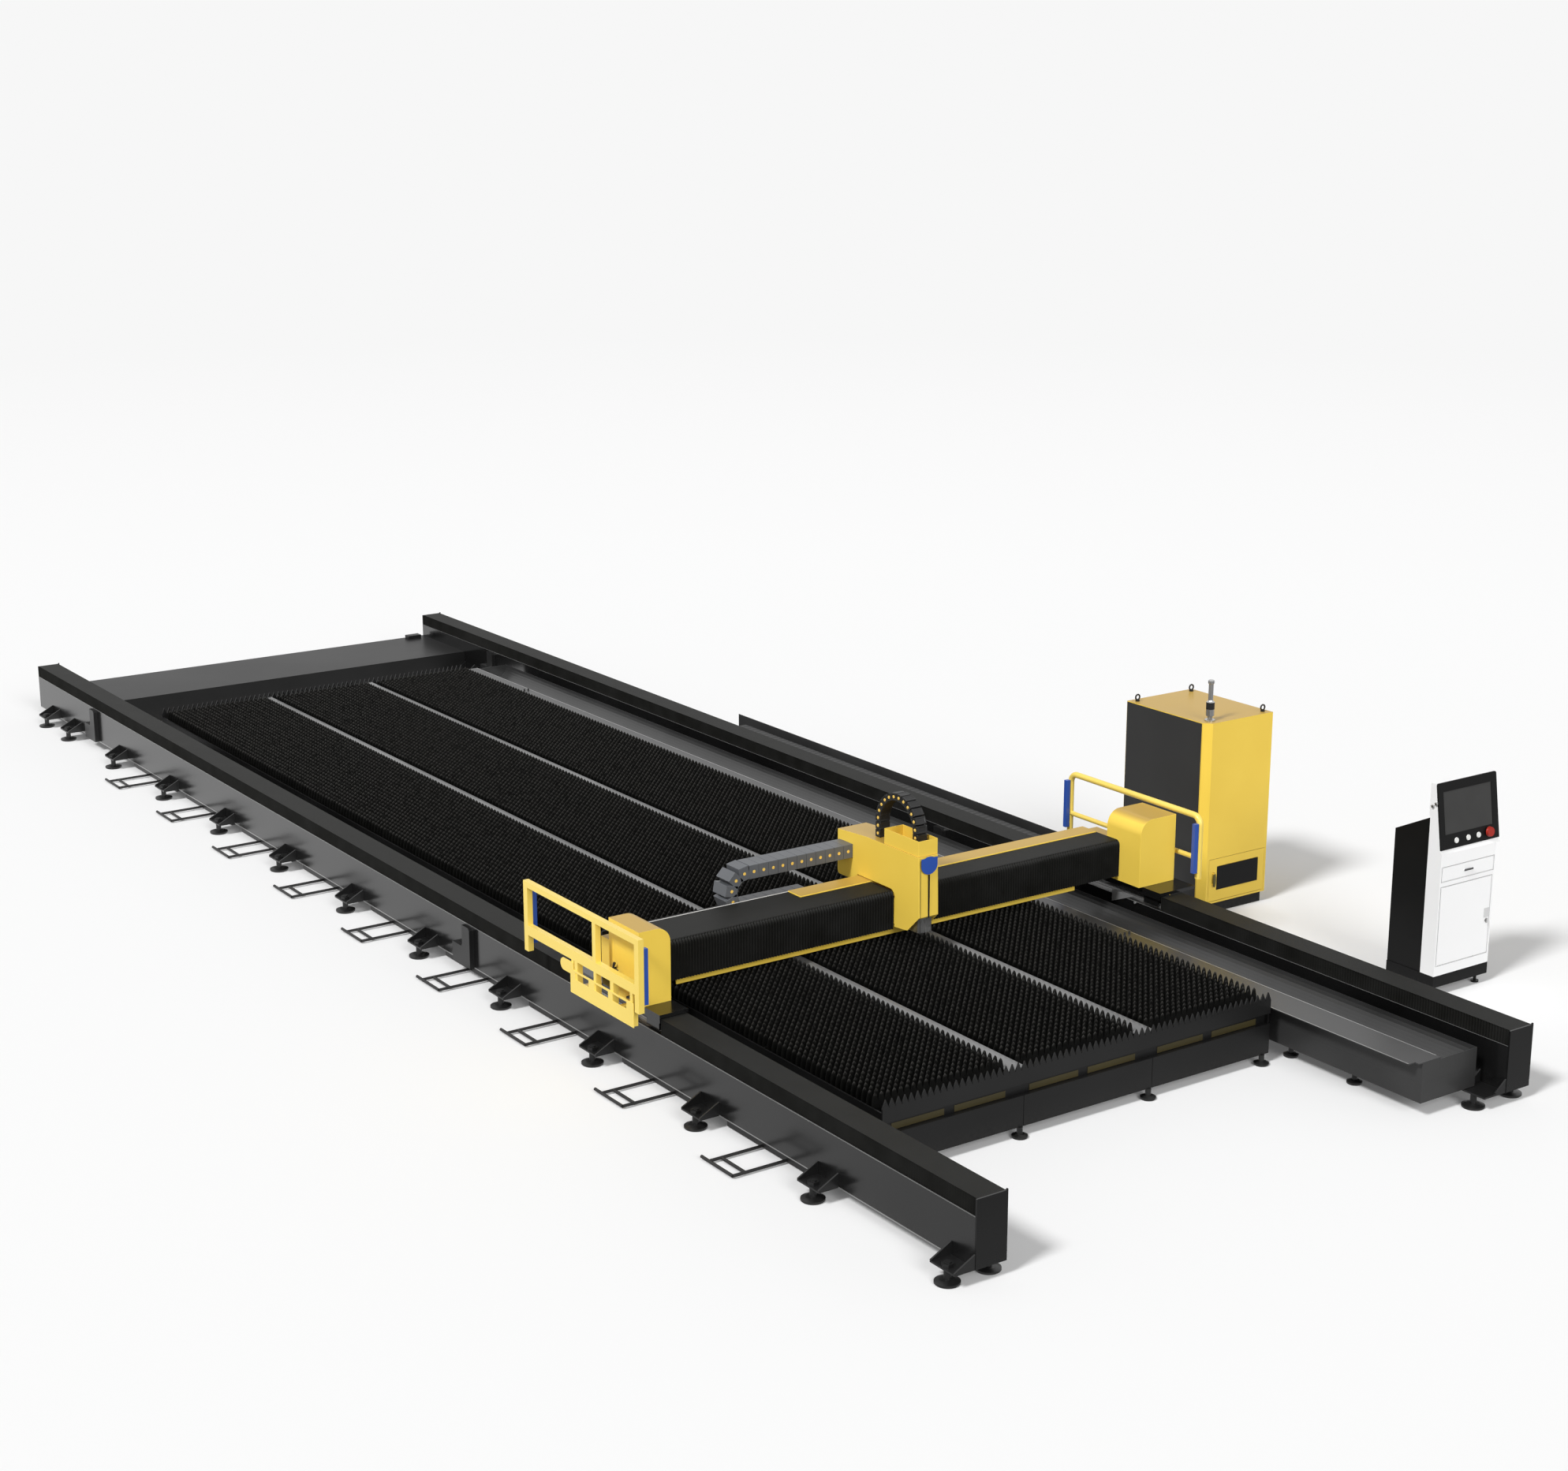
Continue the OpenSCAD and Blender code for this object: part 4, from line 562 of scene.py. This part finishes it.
def chain_links(pitch, width, height, pad_size, closed):
    """One link along X with its pins along Z, and the pads that close its two pins."""
    half = pitch * 0.49
    corner = height * (0.02 if closed else 0.10)
    window_rim = height * 0.13
    window_depth = height * 0.05
    pad_t = pad_size * 0.3
    pad_sunk = pad_size * 0.13
    link = block((-half, -height / 2, -width / 2), (half, height / 2, width / 2), corner)
    for side in () if closed else ("z", "y"):
        choose(link, "FACE", lambda n: abs(getattr(n, side)) > 0.9)
        bpy.ops.mesh.inset(thickness=window_rim, depth=-window_depth)
    pads = []
    for side in (-1, 1):
        pad = round_bar(pad_size / 2, pad_t, (0, 0, side * (width / 2 - pad_sunk)), 16)
        apply_place(pad)
        pads.append(pad)
    return link, modified(joined(pads), "BEVEL", width=pad_size * 0.08, segments=1, limit_method="ANGLE")


def chain_run(route, span, model, to_frame):
    """Copies of one model piece, a link or its pads, laid along a stretch of the chain's route."""
    a, r, step = route
    copies = []
    for k in range(*span):
        x, y, turn = chain_place((k + 0.5) * step, a, r)
        copy = model.copy()
        copy.data = model.data.copy()
        bpy.context.scene.collection.objects.link(copy)
        copy.data.transform(to_frame @ Matrix.Translation((x, y, 0)) @ Matrix.Rotation(turn, 4, "Z"))
        copies.append(copy)
    return outward(joined(copies))


def drag_chain(name, node, a, b, r, pitch, width, height, pad_size, to_frame, paints, bends,
               closed=False):
    """A chain in two stretches: from its moving end round the bend, and from there to its fixed end.
    The links of a closed chain are plain boxes with no openings between their bars."""
    length = a + math.pi * r + b
    links = round(length / pitch)
    step = length / links
    turned = round((a + math.pi * r) / step)
    link, pads = chain_links(step, width, height, pad_size, closed)
    for part, span, bend in (("moving", (0, turned), bends[0]), ("resting", (turned, links), bends[1])):
        for kind, model, paint in (("links", link, paints[0]), ("pads", pads, paints[1])):
            piece = chain_run((a, r, step), span, model, to_frame)
            settled(piece, name + "_" + part + "_" + kind, paint)
            if kind == "links":
                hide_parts(node)
            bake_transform(piece)
    bpy.data.objects.remove(link)
    bpy.data.objects.remove(pads)


def plane(first, second, origin):
    """The matrix that lays a flat route along two directions from an origin."""
    first, second = Vector(first), Vector(second)
    return Matrix.Translation(origin) @ Matrix((first, second, first.cross(second))).transposed().to_4x4()


low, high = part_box("y_drag_chain")
height = 0.060
r = (high.z - low.z - height) / 2
turn_y = high.y - height / 2 - r
return_run = 2.9
drag_chain("long_chain", "y_drag_chain", a=turn_y - low.y, b=return_run, r=r, pitch=0.070,
           width=high.x - low.x, height=height, pad_size=0.026,
           to_frame=plane((0, 1, 0), (0, 0, -1), ((low.x + high.x) / 2, low.y, high.z - height / 2)),
           paints=(chain_black, pad_white),
           bends=(("bed_and_rails", "gantry", (0, 2 * turn_y - low.y, 0), (0, low.y, 0)),
                  ("bed_and_rails", "gantry", (0, turn_y - return_run, 0), (0, turn_y + return_run, 0))))

low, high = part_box("x_drag_chain")
height = 0.105
r = (high.z - low.z - height) / 2
turn_x = low.x + height / 2 + r
return_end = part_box("chain_tray")[1].x - 0.060
drag_chain("cross_chain", "x_drag_chain", a=high.x - turn_x, b=return_end - turn_x, r=r, pitch=0.085,
           width=high.y - low.y, height=height, pad_size=0.028,
           to_frame=plane((-1, 0, 0), (0, 0, -1), (high.x, (low.y + high.y) / 2, high.z - height / 2)),
           paints=(chain_grey, pad_yellow),
           bends=(("gantry", "carriage", (2 * turn_x - high.x, 0, 0), (high.x, 0, 0)),
                  ("gantry", "carriage", (return_end, 0, 0), (2 * turn_x - return_end, 0, 0))), closed=True)

low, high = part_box("z_drag_chain")
height = 0.060
r = (high.y - low.y - height) / 2
turn_z = high.z - height / 2 - r
first_z = low.z + 0.015
bend = ("carriage", "head", (0, high.y - height / 2, 0), (0, low.y + height / 2, 0))
drag_chain("carriage_chain", "z_drag_chain", a=turn_z - first_z, b=turn_z - low.z, r=r, pitch=0.060,
           width=high.x - low.x, height=height, pad_size=0.024,
           to_frame=plane((0, 0, 1), (0, 1, 0), ((low.x + high.x) / 2, low.y + height / 2, first_z)),
           paints=(chain_black, pad_yellow), bends=(bend, bend))


# Gantry: a welded beam between two end housings of folded sheet, all in yellow paint. The sheet
# edges are folded with a small round, and the light curtains are blue bars on the guards' posts.
def softened(node, name, width, material, body):
    """A copy of a solid whose sharp edges are given the round of folded sheet. It stands for the solid."""
    piece = bpy.data.objects.new(name, nodes[node].data.copy())
    bpy.context.scene.collection.objects.link(piece)
    take(piece)
    bpy.ops.object.mode_set(mode="EDIT")
    bpy.ops.mesh.select_all(action="SELECT")
    bpy.ops.mesh.remove_doubles(threshold=0.00005)
    bpy.ops.mesh.dissolve_limited(angle_limit=math.radians(0.5))
    bpy.ops.object.mode_set(mode="OBJECT")
    modified(piece, "BEVEL", width=width, segments=2, limit_method="ANGLE", angle_limit=math.radians(40),
             use_clamp_overlap=True)
    take(piece)
    bpy.ops.object.shade_smooth_by_angle(angle=math.radians(35))
    modified(piece, "WEIGHTED_NORMAL", keep_sharp=True, weight=100)
    settled(piece, name, material, body)
    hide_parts(node)
    return piece


# The yellow's upward faces are mixed towards tan: painted shade on the tops.
yellow_paint = painted("yellow_machine_paint", (0.84, 0.58, 0.078), (0.91, 0.65, 0.098), (0.48, 0.30, 0.060),
                       0.32, coat=0.10, dust_to=0.05, top_shade=0.9, specular=0.25)
guard_yellow = painted("yellow_guard_paint", (0.86, 0.63, 0.115), (0.92, 0.70, 0.145), (0.66, 0.41, 0.115),
                       0.30, coat=0.2, dust_to=0.05)
for node, name, width, paint in (("gantry_beam", "beam", 0.004, yellow_paint),
                                 ("left_housing", "left_end_housing", 0.005, yellow_paint),
                                 ("right_motor_cover", "right_end_cover", 0.005, yellow_paint),
                                 ("guards", "side_guards", 0.006, guard_yellow)):
    softened(node, name, width, paint, "gantry")

blue_paint = painted("blue_curtain_paint", (0.020, 0.072, 0.35), (0.030, 0.102, 0.46), (0.05, 0.06, 0.15),
                     0.28, coat=0.3)
softened("light_curtains", "light_curtain_bars", 0.003, blue_paint, "gantry")

# Beam covers: the same coated cloth over the beam, on both sides of the carriage. It is pleated and
# upright in front, rounded over the beam's top edge, then flat and plain.
low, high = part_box("beam_bellows")
beam_low, beam_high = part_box("gantry_beam")
nose_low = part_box("carriage_body")[0]
nose_width = 0.176
cover_round = 0.040
arc_points = 6
arc_step = 18
flat_end = 0.05


def beam_cover(name, x1, x2):
    """One cover between x1 and x2: a sheet whose rows are laid along the profile, from the front up."""
    folds = 2 * round((x2 - x1) / pleat)
    profile = [(low.y, low.z)]
    for k in range(arc_points):
        t = math.radians(180 - arc_step * k)
        profile.append((low.y + cover_round + cover_round * math.cos(t),
                        high.z - cover_round + cover_round * math.sin(t)))
    profile += [(high.y - flat_end, high.z), (high.y, high.z)]
    rows = len(profile) - 1
    clear_selection()
    bpy.ops.mesh.primitive_grid_add(x_subdivisions=folds, y_subdivisions=rows, size=1,
                                    location=((x1 + x2) / 2, 0, 0))
    piece = bpy.context.object
    piece.scale = (x2 - x1, 1, 1)
    apply_place(piece)
    for row, (y, z) in enumerate(profile):
        at = -0.5 + row / rows
        choose(piece, "VERT", lambda p: p.z == 0 and abs(p.y - at) < 0.01)
        bpy.ops.transform.translate(value=(0, y - at, z))
    step = (x2 - x1) / folds
    choose(piece, "VERT", lambda p: round((p.x - x1) / step) % 2 == 1 and p.y < low.y + cover_round * 0.5)
    bpy.ops.transform.translate(value=(0, pleat_depth, 0))
    modified(piece, "SOLIDIFY", thickness=cloth_t, offset=-1)
    return settled(outward(piece), name, cover_cloth)


for name, x1, x2, fixed, moving in (
        ("left_beam_cover", low.x, nose_low.x, low.x, nose_low.x),
        ("right_beam_cover", nose_low.x + nose_width, high.x, high.x, nose_low.x + nose_width)):
    piece = beam_cover(name, x1, x2)
    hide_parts("beam_bellows")
    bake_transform(piece)

# Rear beam cover: left of the cable tray the cloth runs on to the beam's rear edge, stretched flat,
# and a pale strip of moulded plastic closes it along that edge.
rear_start = beam_low.x + 0.152
rear_end = -1.3435
rear_front = high.y + 0.0005
beam_top = 0.8705
cover_top = 0.892
cloth_bevel = 0.002
strip_edge = beam_high.y - 0.009
strip_seam = 0.0003
strip_inset = 0.001
strip_proud = 0.002
settled(block((rear_start, rear_front, beam_top), (rear_end, strip_edge, cover_top), cloth_bevel),
        "rear_beam_cover", cover_cloth, "gantry")
pale_strip = plastic("pale_strip_plastic", (0.58, 0.57, 0.55), (0.68, 0.67, 0.65), 0.3)
settled(block((rear_start, strip_edge + strip_seam, beam_top),
              (rear_end, beam_high.y - strip_inset, cover_top + strip_proud)),
        "beam_edge_strip", pale_strip, "gantry")

# Clamping levers: three small ones on the left end housing and on its skirt, each a stud with a
# black handle. A lever's place is its distance behind the housing's front, its height and its lean.
lever_black = plastic("black_lever_plastic", grey(0.008), grey(0.018), 0.32)
housing_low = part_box("left_housing")[0]
stud_x = 0.0152
handle_x = 0.024
handle_l = 0.062
handle_middle = 0.024
levers = []
for behind, z, lean in ((0.31, 0.760, 25), (0.23, 0.722, -35), (0.12, 0.610, 80)):
    y = housing_low.y + behind
    levers.append(round_bar(0.009, 0.030, (housing_low.x - stud_x, y, z), 20, "X"))
    clear_selection()
    bpy.ops.mesh.primitive_cone_add(vertices=20, radius1=0.006, radius2=0.011, depth=handle_l,
                                    location=(0, 0, handle_middle))
    handle = bpy.context.object
    apply_place(handle)
    handle.rotation_euler = (math.radians(lean), 0, 0)
    handle.location = (housing_low.x - handle_x, y, z)
    levers.append(rounded(handle, 0.004))
for piece in levers:
    apply_place(piece)
settled(joined(levers), "clamping_levers", lever_black, "gantry")


# Carriage: a yellow sheet shell over the beam, with an open box for the small chain behind it. The
# slide and the cutting head in its nose are machined from bright steel.
softened("carriage_body", "carriage_shell", 0.004, yellow_paint, "carriage")
softened("z_box", "chain_box", 0.002, yellow_paint, "carriage")
bright = steel("machined_bright_steel", 0.95, 120, (1, 1, 0.05), grey(0.42), (0.62, 0.62, 0.61), 0.20, 0.18)
wear("z_slide", bright)
wear("cutting_head", bright)

# The nose carries a blue shield with a round lower end. A slot runs down from it, drawn as a black
# strip of painted shade, and a seam beside it shows where the nose's front sheet is screwed on.
nose_middle = nose_low.x + nose_width / 2
nose_front = nose_low.y
shield_w = 0.146
shield_z = (1.158, 1.214)
shield_t = 0.0034
shield_round_t = 0.0028
shield_round_y = 0.0016
shield_squash = 0.92
slot_half = 0.007
slot_z = (0.760, 1.088)
slot_t = 0.0012
nose_seam_x = (0.010, 0.0135)
nose_seam_z = (0.650, 1.200)
nose_seam_t = 0.0010
shield_plate = block((nose_middle - shield_w / 2, nose_front - shield_t, shield_z[0]),
                     (nose_middle + shield_w / 2, nose_front - trim_gap, shield_z[1]))
shield_end = round_bar(shield_w / 2, shield_round_t, (nose_middle, nose_front - shield_round_y, shield_z[0]),
                       48, "Y")
shield_end.scale = (1, shield_squash, 1)
apply_place(shield_end)
settled(joined([shield_plate, shield_end]), "nose_shield", blue_paint, "carriage")
# The slot is a black strip on the nose's front: painted shade in place of the opening.
slot_shade_and_seam = [block((nose_middle - slot_half, nose_front - slot_t, slot_z[0]),
               (nose_middle + slot_half, nose_front - trim_gap, slot_z[1])),
         block((nose_low.x + nose_seam_x[0], nose_front - nose_seam_t, nose_seam_z[0]),
               (nose_low.x + nose_seam_x[1], nose_front - trim_gap, nose_seam_z[1]))]
settled(joined(slot_shade_and_seam), "nose_slot_shade_and_seam", lever_black, "carriage")


# Control cabinet: a yellow sheet body on a black plinth, with a louvred door in front and a signal
# mast on its roof. A graphite panel is screwed flat on its left side.
softened("cabinet_shell", "cabinet_body", 0.003, yellow_paint, "bed_and_rails")
softened("cabinet_door", "cabinet_door_leaf", 0.002, yellow_paint, "cabinet_door")
black_sheet = painted("black_sheet_paint", grey(0.003), grey(0.006), (0.03, 0.03, 0.029), 0.34, dust_to=0.2,
                      specular=0.22)
wear("cabinet_plinth", black_sheet)
wear("signal_mast", bright)
graphite = painted("graphite_panel_paint", grey(0.028), grey(0.038), (0.05, 0.05, 0.048), 0.50, dust_to=0.16,
                   specular=0.3)
cabinet_low, cabinet_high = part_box("cabinet_shell")
side_panel_t = 0.0012
side_panel_front = 0.068
side_panel_back = 0.003
side_panel_z = (0.098, 1.620)
settled(block((cabinet_low.x - side_panel_t, cabinet_low.y + side_panel_front, side_panel_z[0]),
              (cabinet_low.x - trim_gap, cabinet_high.y - side_panel_back, side_panel_z[1])),
        "cabinet_side_panel", graphite, "bed_and_rails")

# Door grille: behind the louvres the door is closed by a black sheet with fine ribs, which stands
# a little proud of the leaf. Its places are measured from the door's lower left corner.
door_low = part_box("cabinet_door")[0]
leaf_y = cabinet_low.y
grille_x = (0.088, 0.552)
grille_z = (0.100, 0.298)
grille_t = 0.0014
rib_x = (0.096, 0.544)
rib_z = 0.105
rib_step = 0.0087
rib_h = 0.0042
rib_y = (0.0026, 0.0012)
rib_count = 22
grille = [block((door_low.x + grille_x[0], leaf_y - grille_t, door_low.z + grille_z[0]),
                (door_low.x + grille_x[1], leaf_y - trim_gap, door_low.z + grille_z[1]))]
for k in range(rib_count):
    z = door_low.z + rib_z + k * rib_step
    grille.append(block((door_low.x + rib_x[0], leaf_y - rib_y[0], z),
                        (door_low.x + rib_x[1], leaf_y - rib_y[1], z + rib_h)))
settled(joined(grille), "door_grille", black_sheet, "cabinet_door")

# Door grip: the door's pull has a long oval grip, moulded in a dark olive plastic. It is drawn out
# from a round button about its own middle.
grip_x = 0.048
grip_y = 0.0185
grip_r = 0.0145
grip_t = 0.0100
grip_stretch = 4.1
grip_z = door_low.z + 0.1935
grip = round_bar(grip_r, grip_t, (door_low.x + grip_x, leaf_y - grip_y, grip_z), 48, "Y")
apply_place(grip)
choose(grip, "VERT", lambda p: True)
bpy.ops.transform.resize(value=(1, 1, grip_stretch), center_override=(0, 0, grip_z))
olive_grip = plastic("olive_grip_plastic", (0.075, 0.062, 0.014), (0.100, 0.082, 0.020), 0.4)
settled(rounded(grip, 0.003), "door_pull_grip", olive_grip, "cabinet_door")

# Roof: black eye bolts on collars stand on three of its corners, and the mast on the fourth one has
# a dark grip round its tube. Places are measured from the cabinet's left front corner.
roof_z = 1.627
bolt_places = ((0.060, 0.898), (0.667, 0.898), (0.667, 0.060))
ring_r = 0.022
ring_bar = 0.0068
ring_z = 0.034
collar_r = 0.018
collar_t = 0.0104
collar_z = 0.0055
bolts = []
for beside, behind in bolt_places:
    x, y = cabinet_low.x + beside, cabinet_low.y + behind
    clear_selection()
    bpy.ops.mesh.primitive_torus_add(major_segments=32, minor_segments=12, major_radius=ring_r,
                                     minor_radius=ring_bar, rotation=(math.pi / 2, 0, 0),
                                     location=(x, y, roof_z + ring_z))
    apply_place(bpy.context.object)
    bolts.append(bpy.context.object)
    collar = round_bar(collar_r, collar_t, (x, y, roof_z + collar_z), 32)
    apply_place(collar)
    bolts.append(collar)
settled(joined(bolts), "roof_eye_bolts", lever_black, "bed_and_rails")
mast_low, mast_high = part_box("signal_mast")
mast_grip_r = 0.0346
mast_grip_l = 0.058
mast_grip_z = 0.128
mast_x = (mast_low.x + mast_high.x) / 2
mast_y = (mast_low.y + mast_high.y) / 2
mast_grip = round_bar(mast_grip_r, mast_grip_l, (mast_x, mast_y, roof_z + mast_grip_z), 40)
settled(rounded(mast_grip, 0.002), "mast_grip", lever_black, "bed_and_rails")

# Buttons: red mushroom heads on the two stop buttons, and black caps on the cabinet's push buttons.
# All are moulded and have a soft shine.
stop_red = plastic("stop_button_red", (0.28, 0.016, 0.010), (0.38, 0.026, 0.014), 0.30)
button_black = plastic("button_black_plastic", grey(0.010), grey(0.024), 0.28)
for name in ("cabinet_estop", "console_estop"):
    wear(name, stop_red)
for name in ("cabinet_button_1", "cabinet_button_2"):
    wear(name, button_black)

# Console: white folded sheet in front, with a keyboard drawer, a door and a black bezel that leans
# back round the screen. It stands on a black column and base.
white_paint = painted("white_console_paint", grey(0.90), grey(0.93), (0.84, 0.84, 0.83), 0.30, coat=0.15)
softened("console_housing", "console_front", 0.003, white_paint, "bed_and_rails")
softened("keyboard_drawer", "keyboard_drawer_box", 0.0015, white_paint, "keyboard_drawer")
softened("console_door", "console_door_leaf", 0.002, white_paint, "console_door")
softened("screen_bezel", "screen_frame", 0.0015, black_sheet, "bed_and_rails")
softened("console_column", "console_column_shell", 0.002, black_sheet, "bed_and_rails")
wear("console_base", black_sheet)
wear("console_lock", bright)

pull_grey = plastic("grey_pull_plastic", (0.060, 0.060, 0.062), (0.095, 0.095, 0.098), 0.35)
drawer_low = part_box("keyboard_drawer")[0]
pull_x = (0.2355, 0.3265)
pull_y = (0.0006, 0.0086)
pull_z = (0.9515, 0.9645)
pull_bevel = 0.001
settled(block((drawer_low.x + pull_x[0], drawer_low.y - pull_y[0], pull_z[0]),
              (drawer_low.x + pull_x[1], drawer_low.y + pull_y[1], pull_z[1]), pull_bevel),
        "drawer_pull", pull_grey, "keyboard_drawer")

# Seams: thin shaded lines on the housing, which run round the openings of the drawer and of the
# door. They lie a little outside both, so that the door clears them as it swings.
seam_grey = plastic("seam_shade_grey", grey(0.42), grey(0.50), 0.5)
seam_w = 0.0035
seam_out = 0.004
seam_proud = 0.0004
drawer_z = (0.906, 1.011)
door_z = (0.248, 0.858)
console_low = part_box("console_housing")[0]
for node, name, (z1, z2) in (("keyboard_drawer", "drawer_seams", drawer_z),
                             ("console_door", "console_door_seams", door_z)):
    low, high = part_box(node)
    x1, x2 = low.x - seam_out, high.x + seam_out
    z1, z2 = z1 - seam_out, z2 + seam_out
    bars = [((x1 - seam_w, z1), (x1, z2)), ((x2, z1), (x2 + seam_w, z2)),
            ((x1 - seam_w, z1 - seam_w), (x2 + seam_w, z1)), ((x1 - seam_w, z2), (x2 + seam_w, z2 + seam_w))]
    strips = [block((left, console_low.y - seam_proud, under), (right, console_low.y - seam_proud / 4, over))
              for (left, under), (right, over) in bars]
    settled(joined(strips), name, seam_grey, "bed_and_rails")

# Door pull: a flat grey plate above the console's lock, clipped into the door's face. Its places
# are measured from the lock.
lock_low, lock_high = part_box("console_lock")
plate_out_x = (0.012, 0.022)
plate_up_z = (0.004, 0.078)
plate_t = 0.0010
plate_bevel = 0.0003
pull_panel = plastic("pull_panel_grey", grey(0.58), grey(0.66), 0.4)
settled(block((lock_low.x - plate_out_x[0], console_low.y - plate_t, lock_high.z + plate_up_z[0]),
              (lock_high.x + plate_out_x[1], console_low.y - trim_gap, lock_high.z + plate_up_z[1]),
              plate_bevel),
        "console_door_pull", pull_panel, "console_door")

# Sockets: two covered sockets stand on the left side of the console's head, one above the other.
# Each is a small turned cap. Its place is its distance behind the console's front and its height.
socket_x = 0.0072
sockets = []
for behind, z in ((0.110, 1.468), (0.078, 1.492)):
    socket = round_bar(0.013, 0.014, (console_low.x - socket_x, console_low.y + behind, z), 24, "X")
    rounded(socket, 0.003)
    apply_place(socket)
    sockets.append(socket)
settled(joined(sockets), "side_sockets", bright, "bed_and_rails")

# Screen and push buttons: a dim pane of glass with a few smears, and three white caps below it.
# Both are set in the bezel.
glass = Finish("dim_screen_glass", specular=0.35)
smear = glass.noise(6, 3)
wear("screen", glass.coat_on(glass.mix(smear, (0.034, 0.034, 0.033), (0.044, 0.044, 0.043)),
                             0.30 + smear * 0.10))
button_white = plastic("button_white_plastic", (0.66, 0.66, 0.64), (0.78, 0.78, 0.76), 0.25)
for k in (1, 2, 3):
    wear("console_button_%d" % k, button_white)

# Studio: a pale floor that keeps the machine's shadow, a pale surround and two broad soft lamps.
# The camera sees floor and surround pale, and reflections see the surround pale. In reflections the
# floor glows, dim in front and bright towards the rear: a painted reflection on the machine's glossy
# faces. Otherwise the light on the machine stays plain.
clear_selection()
bpy.ops.mesh.primitive_plane_add(size=240, location=(0, 0, 0))
floor = bpy.context.object
floor.name = "studio_floor"
ground = Finish("pale_floor", specular=0.0)
seen = ground.ray("Camera") + ground.ray("Transmission")
mirrored = ground.ray("Glossy")
cloudy = ground.noise(0.25, 2)
away = ground.node("ShaderNodeVectorMath", {"operation": "LENGTH"}, {0: ground.place}, "Value")
far = ground.band(away, 14, 42)
rearward = ground.band(ground.split(ground.place, "Y"), -14, 3)
backdrop_white = 0.93
near_glow = 0.07
front_mirrored = 0.15
rear_mirrored = 0.85
ground.feed(ground.shader.inputs["Emission Strength"], 1.0)
# Glossy rays see the floor glow brighter towards the rear: a painted reflection.
ground.feed(ground.shader.inputs["Emission Color"],
            seen * ((1 - far) * near_glow + far * backdrop_white)
            + mirrored * (front_mirrored + rearward * rear_mirrored))
bounce = ground.mix(cloudy, grey(0.54), grey(0.56))
shown = ground.mix(far, grey(0.82), grey(0.0))
unmirrored = ground.mix(seen, bounce, shown)
floor.data.materials.append(ground.coat_on(ground.mix(mirrored, unmirrored, grey(0.0)), 0.9))

world = bpy.data.worlds.new("studio")
bpy.context.scene.world = world
world.use_nodes = True
sky = Wiring(world.node_tree)
backdrop = sky.tree.nodes["Background"]
direction = sky.node("ShaderNodeTexCoord", output="Generated")
fade = sky.ramp(sky.split(direction, "Z"), ((0.0, grey(0.64)), (0.70, grey(0.22))))
shows = sky.ray("Camera") + sky.ray("Glossy") + sky.ray("Transmission")
sky.feed(backdrop.inputs["Strength"], 1.0)
sky.feed(backdrop.inputs["Color"], sky.mix(shows, fade, grey(backdrop_white)))


def lamp(name, azimuth, elevation, strength, spread):
    """A distant soft lamp, placed by the direction that it shines from."""
    clear_selection()
    bpy.ops.object.light_add(type="SUN", location=(0, 0, 10))
    light = bpy.context.object
    light.name = name
    a, e = math.radians(azimuth), math.radians(elevation)
    towards = Vector((math.cos(e) * math.cos(a), math.cos(e) * math.sin(a), math.sin(e)))
    light.rotation_euler = towards.to_track_quat("Z", "Y").to_euler()
    light.data.energy = strength
    light.data.angle = math.radians(spread)


lamp("key_lamp", azimuth=192, elevation=46, strength=2.5, spread=12)
lamp("front_lamp", azimuth=262, elevation=28, strength=1.60, spread=30)
